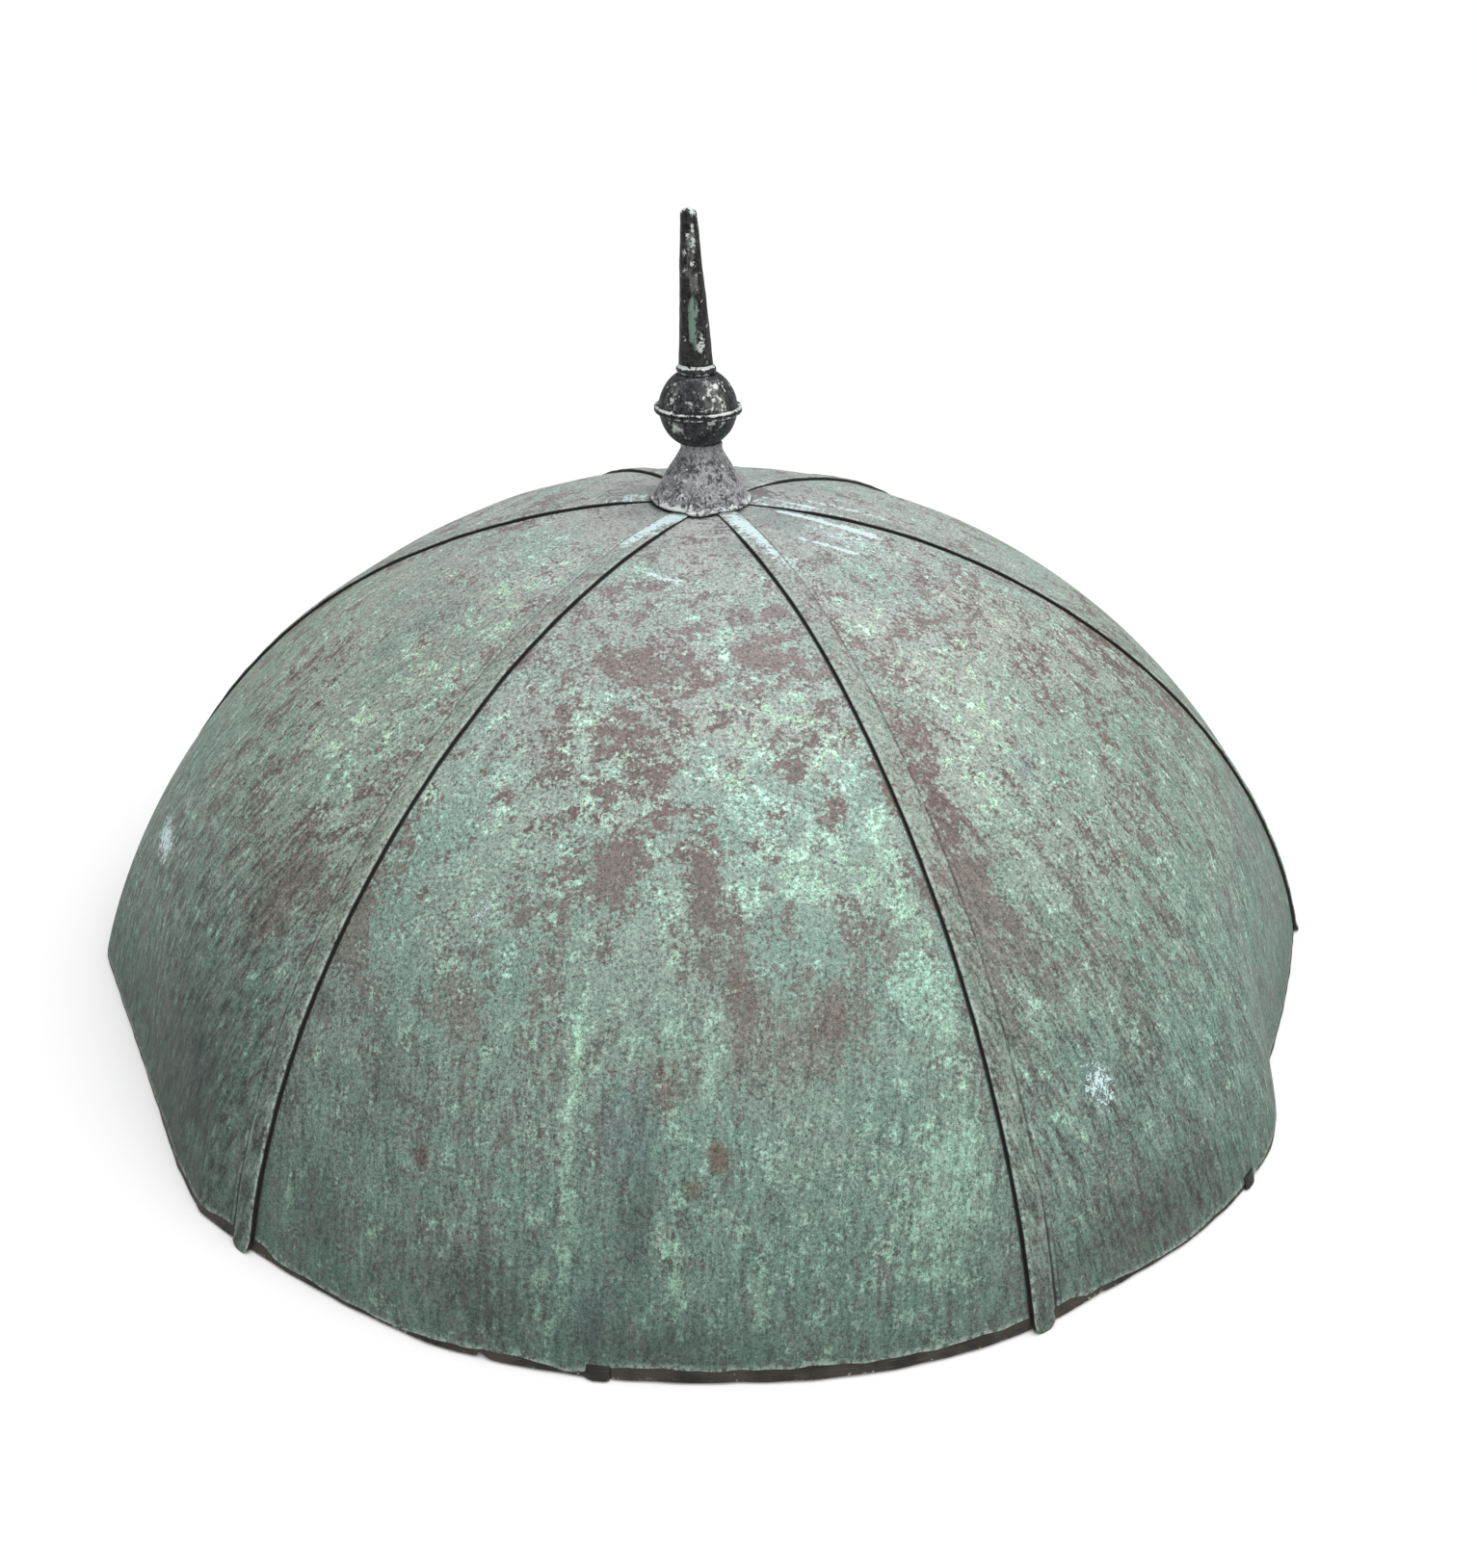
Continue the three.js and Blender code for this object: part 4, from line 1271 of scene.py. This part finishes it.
def marked(g, f, colour):
    """Rubbed edges with painted highlight, chalk, bare copper, painted shadow with grime in the laps and
    under the finial base, darkening towards the rim, and the brown underside.
    """
    # Rubbed edges and painted highlight: the strips' free edges and the sheets' bottom edges are paled in
    # broken chips
    rubbed = g.step(g.total((f.chip, 0.6), (f.speck, 0.4)), 0.42, 0.58, 0.8)
    colour = g.mix(g.times(f.worn_and_highlight, rubbed), colour, HIGHLIGHT_AND_WORN_PALE)
    swept = g.times(f.near_crown, g.math("SUBTRACT", f.brushed, 0.5))
    smear = g.total((f.chalk, 0.42), (f.lace, 1.3, 0.5), (f.chip, 0.6, 0.5), (swept, 1.2))
    colour = g.mix(g.times(g.step(smear, 0.38, 0.50, 0.95), g.step(f.chalk, 0.2, 0.5)), colour, CHALK_WHITE)
    bare = g.step(g.total((f.brown, 1.0), (f.speck, 1.0, 0.5)), 1.9, 2.3, 0.8)
    colour = g.mix(bare, colour, BARE_COPPER)
    # Painted shadow with grime: near black in the seams' gaps and grooves and under the finial base, and
    # darker towards the rim
    shade_and_grime = g.step(g.total((f.shade_and_dirt, 0.9), (f.drip, 0.3, 0.5), (f.speck, 0.4, 0.5)), 0.05, 0.75)
    colour = g.mix(g.times(f.shade_and_dirt, shade_and_grime), colour, SHADE_AND_SOOT_BLACK)
    return g.mix(g.times(f.inside, 0.85), colour, UNDERSIDE_BROWN)


def patina_material():
    g = Graph("verdigris_copper")
    f = patina_fields(g)
    patina_cover(g, f)
    colour = flaked(g, f, oxide_and_film(g, f))
    colour = marked(g, f, weathered(g, f, colour))
    roughness = g.total((f.flecks, 0.18), (f.speck, 0.2, 0.5), (f.film, 0.1), (1.0, 0.58))
    height = g.total((f.chip, 0.7), (f.speck, 0.4), (f.grain, 0.2))
    return g.finish(colour, roughness, height, 0.9 * MM, specular=0.3)


EDGING_DARK = (0.013, 0.011, 0.009, 1)
EDGING_LIGHT = (0.045, 0.037, 0.029, 1)
EDGING_GREEN = (0.10, 0.115, 0.09, 1)
# Pale chips, and painted highlight on the band's edges
EDGING_CHIPS_AND_HIGHLIGHT = (0.33, 0.35, 0.29, 1)
EDGING_LAPPED = (0.012, 0.011, 0.010, 1)


def edging_material():
    g = Graph("brown_copper")
    place = g.place()
    worn_and_highlight, lapped, _ = g.parts(g.attribute("wear_and_painted_light"))
    cloud = g.noise(place, 24, 6, 0.6)
    speck = g.noise(place, 210, 6, 0.68)
    long_marks = g.noise(g.scaled(g.attribute("flow"), (40, 700, 1)), 1.0, 5, 0.6)
    colour = g.mix(g.step(cloud, 0.35, 0.65), EDGING_DARK, EDGING_LIGHT)
    colour = g.mix(g.step(long_marks, 0.54, 0.72, 0.45), colour, EDGING_GREEN)
    # Pale chips, more of them along the band's top and bottom edges as painted highlight
    chips = g.step(g.total((speck, 1.0), (worn_and_highlight, 0.1), (cloud, 0.25, 0.5)), 0.66, 0.74, 0.8)
    colour = g.mix(chips, colour, EDGING_CHIPS_AND_HIGHLIGHT)
    colour = g.mix(g.times(lapped, 0.6), colour, EDGING_LAPPED)
    roughness = g.total((speck, 0.3, 0.5), (chips, 0.15), (1.0, 0.6))
    height = g.total((speck, 0.6), (long_marks, 0.4))
    return g.finish(colour, roughness, height, 0.5 * MM, metallic=0.2, specular=0.35)


# Zinc: dark and light of the mottling, where the pale chips start, share of pale scratches
ZINC_FINISHES = dict(
    black_zinc=dict(
        dark=(0.005, 0.005, 0.005, 1), light=(0.022, 0.023, 0.021, 1), chip_from=0.65, veined=0.04,
    ),
    dark_zinc=dict(
        dark=(0.008, 0.009, 0.010, 1), light=(0.040, 0.043, 0.047, 1), chip_from=0.635, veined=0.05,
    ),
    mottled_zinc=dict(
        dark=(0.045, 0.046, 0.051, 1), light=(0.28, 0.285, 0.30, 1), chip_from=0.65, veined=0.4,
    ),
)
SCRATCH_PALE = (0.46, 0.47, 0.48, 1)
SCUFF_GREY = (0.17, 0.165, 0.155, 1)
# Pale chips, and painted highlight on the collar ring's edges
CHIP_AND_HIGHLIGHT_WHITE = (0.62, 0.66, 0.63, 1)
STAIN_GREEN = (0.20, 0.30, 0.245, 1)


def zinc_material(name, dark, light, chip_from, veined):
    g = Graph(name)
    place = g.place()
    worn_and_highlight, scuffed, stained = g.parts(g.attribute("wear_and_painted_light"))
    cloud = g.noise(place, 55, 6, 0.70, 0.3)
    chip = g.noise(place, 95, 7, 0.66, 0.3)
    speck = g.noise(place, 260, 5, 0.7)
    run = g.noise(g.scaled(place, (210, 210, 26)), 1.0, 5, 0.62)
    mottle = g.total((cloud, 0.6), (speck, 0.45), (run, 0.35, 0.5))
    colour = g.mix(g.step(mottle, 0.44, 0.60), dark, light)
    scratched = g.math("ABSOLUTE", g.math("SUBTRACT", chip, 0.5))
    scratched = g.math("SUBTRACT", veined, g.step(scratched, 0.0, 0.045, veined))
    colour = g.mix(scratched, colour, SCRATCH_PALE)
    gritty = g.total((speck, 2.6, 0.5), (1.0, 1.0))
    colour = g.mix(1.0, colour, g.grey(g.math("MAXIMUM", gritty, 0.3)), "MULTIPLY")
    dull = g.total((scuffed, 0.30), (run, 0.7, 0.5), (cloud, 0.6, 0.5), (speck, 0.5, 0.5))
    colour = g.mix(g.step(dull, 0.12, 0.34, 0.6), colour, SCUFF_GREY)
    # Pale chips gather on edges; on the collar ring they paint highlight
    flaked = g.total((chip, 0.75), (speck, 0.35), (worn_and_highlight, 0.16), (scuffed, 0.10))
    chips = g.step(flaked, chip_from, chip_from + 0.06, 0.92)
    colour = g.mix(chips, colour, CHIP_AND_HIGHLIGHT_WHITE)
    green = g.step(g.total((stained, 0.5), (run, 0.9, 0.5), (chip, 0.6, 0.5)), 0.34, 0.50, 0.8)
    colour = g.mix(green, colour, STAIN_GREEN)
    roughness = g.total((speck, 0.35, 0.5), (chips, 0.2), (1.0, 0.52))
    height = g.total((speck, 0.5), (cloud, 0.5), (run, 0.3), (chips, 0.4))
    return g.finish(colour, roughness, height, 0.7 * MM, metallic=0.1, specular=0.22)


def floor_material():
    g = Graph("pale_floor")
    haze = g.noise(g.place(), 1.2, 3, 0.5)
    colour = g.mix(haze, (0.71, 0.71, 0.71, 1), (0.74, 0.74, 0.74, 1))
    return g.finish(colour, 0.7, haze, 0.2 * MM, specular=0.2)


# Stage

def make_camera():
    data = bpy.data.cameras.new("camera")
    data.sensor_width = SENSOR
    data.lens = FOCAL_PX / PHOTO_HEIGHT * SENSOR
    data.clip_start = 0.01
    data.clip_end = 20000
    camera = bpy.data.objects.new("camera", data)
    turn = Matrix((CAMERA_RIGHT, CAMERA_UP, -CAMERA_FORWARD)).transposed()
    camera.matrix_world = Matrix.Translation(CAMERA_AT) @ turn.to_4x4()
    bpy.context.scene.collection.objects.link(camera)
    bpy.context.scene.camera = camera


FLOOR_NEAR = 4.0
FLOOR_FAR = 4000.0


def make_floor():
    corners = [(-1, -1), (1, -1), (1, 1), (-1, 1)]
    points = [(x * half, y * half, 0) for half in (FLOOR_NEAR, FLOOR_FAR) for x, y in corners]
    faces = [(0, 1, 2, 3)] + [(i, i + 4, (i + 1) % 4 + 4, (i + 1) % 4) for i in range(4)]
    mesh = bpy.data.meshes.new("floor")
    mesh.from_pydata(points, [], faces)
    mesh.materials.append(floor_material())
    floor = bpy.data.objects.new("floor", mesh)
    bpy.context.scene.collection.objects.link(floor)


SKY_STRENGTH = 0.38
KEY_STRENGTH = 3.6
KEY_FROM = Vector((0.24, -0.22, 0.94))
KEY_SPREAD = math.radians(75)


def make_light():
    scene = bpy.context.scene
    world = bpy.data.worlds.new("studio")
    world.use_nodes = True
    background = world.node_tree.nodes["Background"]
    background.inputs["Color"].default_value = (1.0, 1.0, 1.0, 1.0)
    background.inputs["Strength"].default_value = SKY_STRENGTH
    scene.world = world
    data = bpy.data.lights.new("overhead", "SUN")
    data.energy = KEY_STRENGTH
    data.angle = KEY_SPREAD
    light = bpy.data.objects.new("overhead", data)
    light.rotation_mode = "QUATERNION"
    light.rotation_quaternion = (-KEY_FROM).to_track_quat("-Z", "Y")
    scene.collection.objects.link(light)
    scene.view_settings.view_transform = "Standard"


def put(piece, material, slot, *nodes):
    piece.data.materials.append(material)
    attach(piece, "root")
    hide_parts(*nodes)


def build_dome():
    patina = patina_material()
    edging = edging_material()
    for number, node in enumerate(GORES):
        put(gore_piece(number), patina, "verdigris_copper", node)
    for number in range(len(BAND_JOINTS)):
        put(band_piece(number), edging, "brown_copper", f"rim_band_{number + 1}")


def build_finial():
    at = finial_heights()
    zinc = {name: zinc_material(name, **finish) for name, finish in ZINC_FINISHES.items()}
    lower, upper = ball_pieces(at)
    put(base_piece(at), zinc["mottled_zinc"], "grey_zinc", "finial_base")
    put(lower, zinc["dark_zinc"], "grey_zinc", "finial_ball_lower")
    put(upper, zinc["dark_zinc"], "grey_zinc", "finial_ball_upper")
    put(collar_piece(at), zinc["dark_zinc"], "grey_zinc", "finial_collar")
    put(spike_piece(at), zinc["black_zinc"], "grey_zinc", "finial_spike")


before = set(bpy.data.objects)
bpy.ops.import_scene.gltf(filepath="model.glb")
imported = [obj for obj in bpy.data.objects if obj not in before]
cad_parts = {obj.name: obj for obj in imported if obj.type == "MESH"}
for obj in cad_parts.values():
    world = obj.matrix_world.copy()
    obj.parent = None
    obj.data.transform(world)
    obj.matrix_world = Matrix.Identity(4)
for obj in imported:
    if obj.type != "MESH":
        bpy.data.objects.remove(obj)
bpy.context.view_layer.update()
make_camera()
make_floor()
make_light()
build_dome()
build_finial()
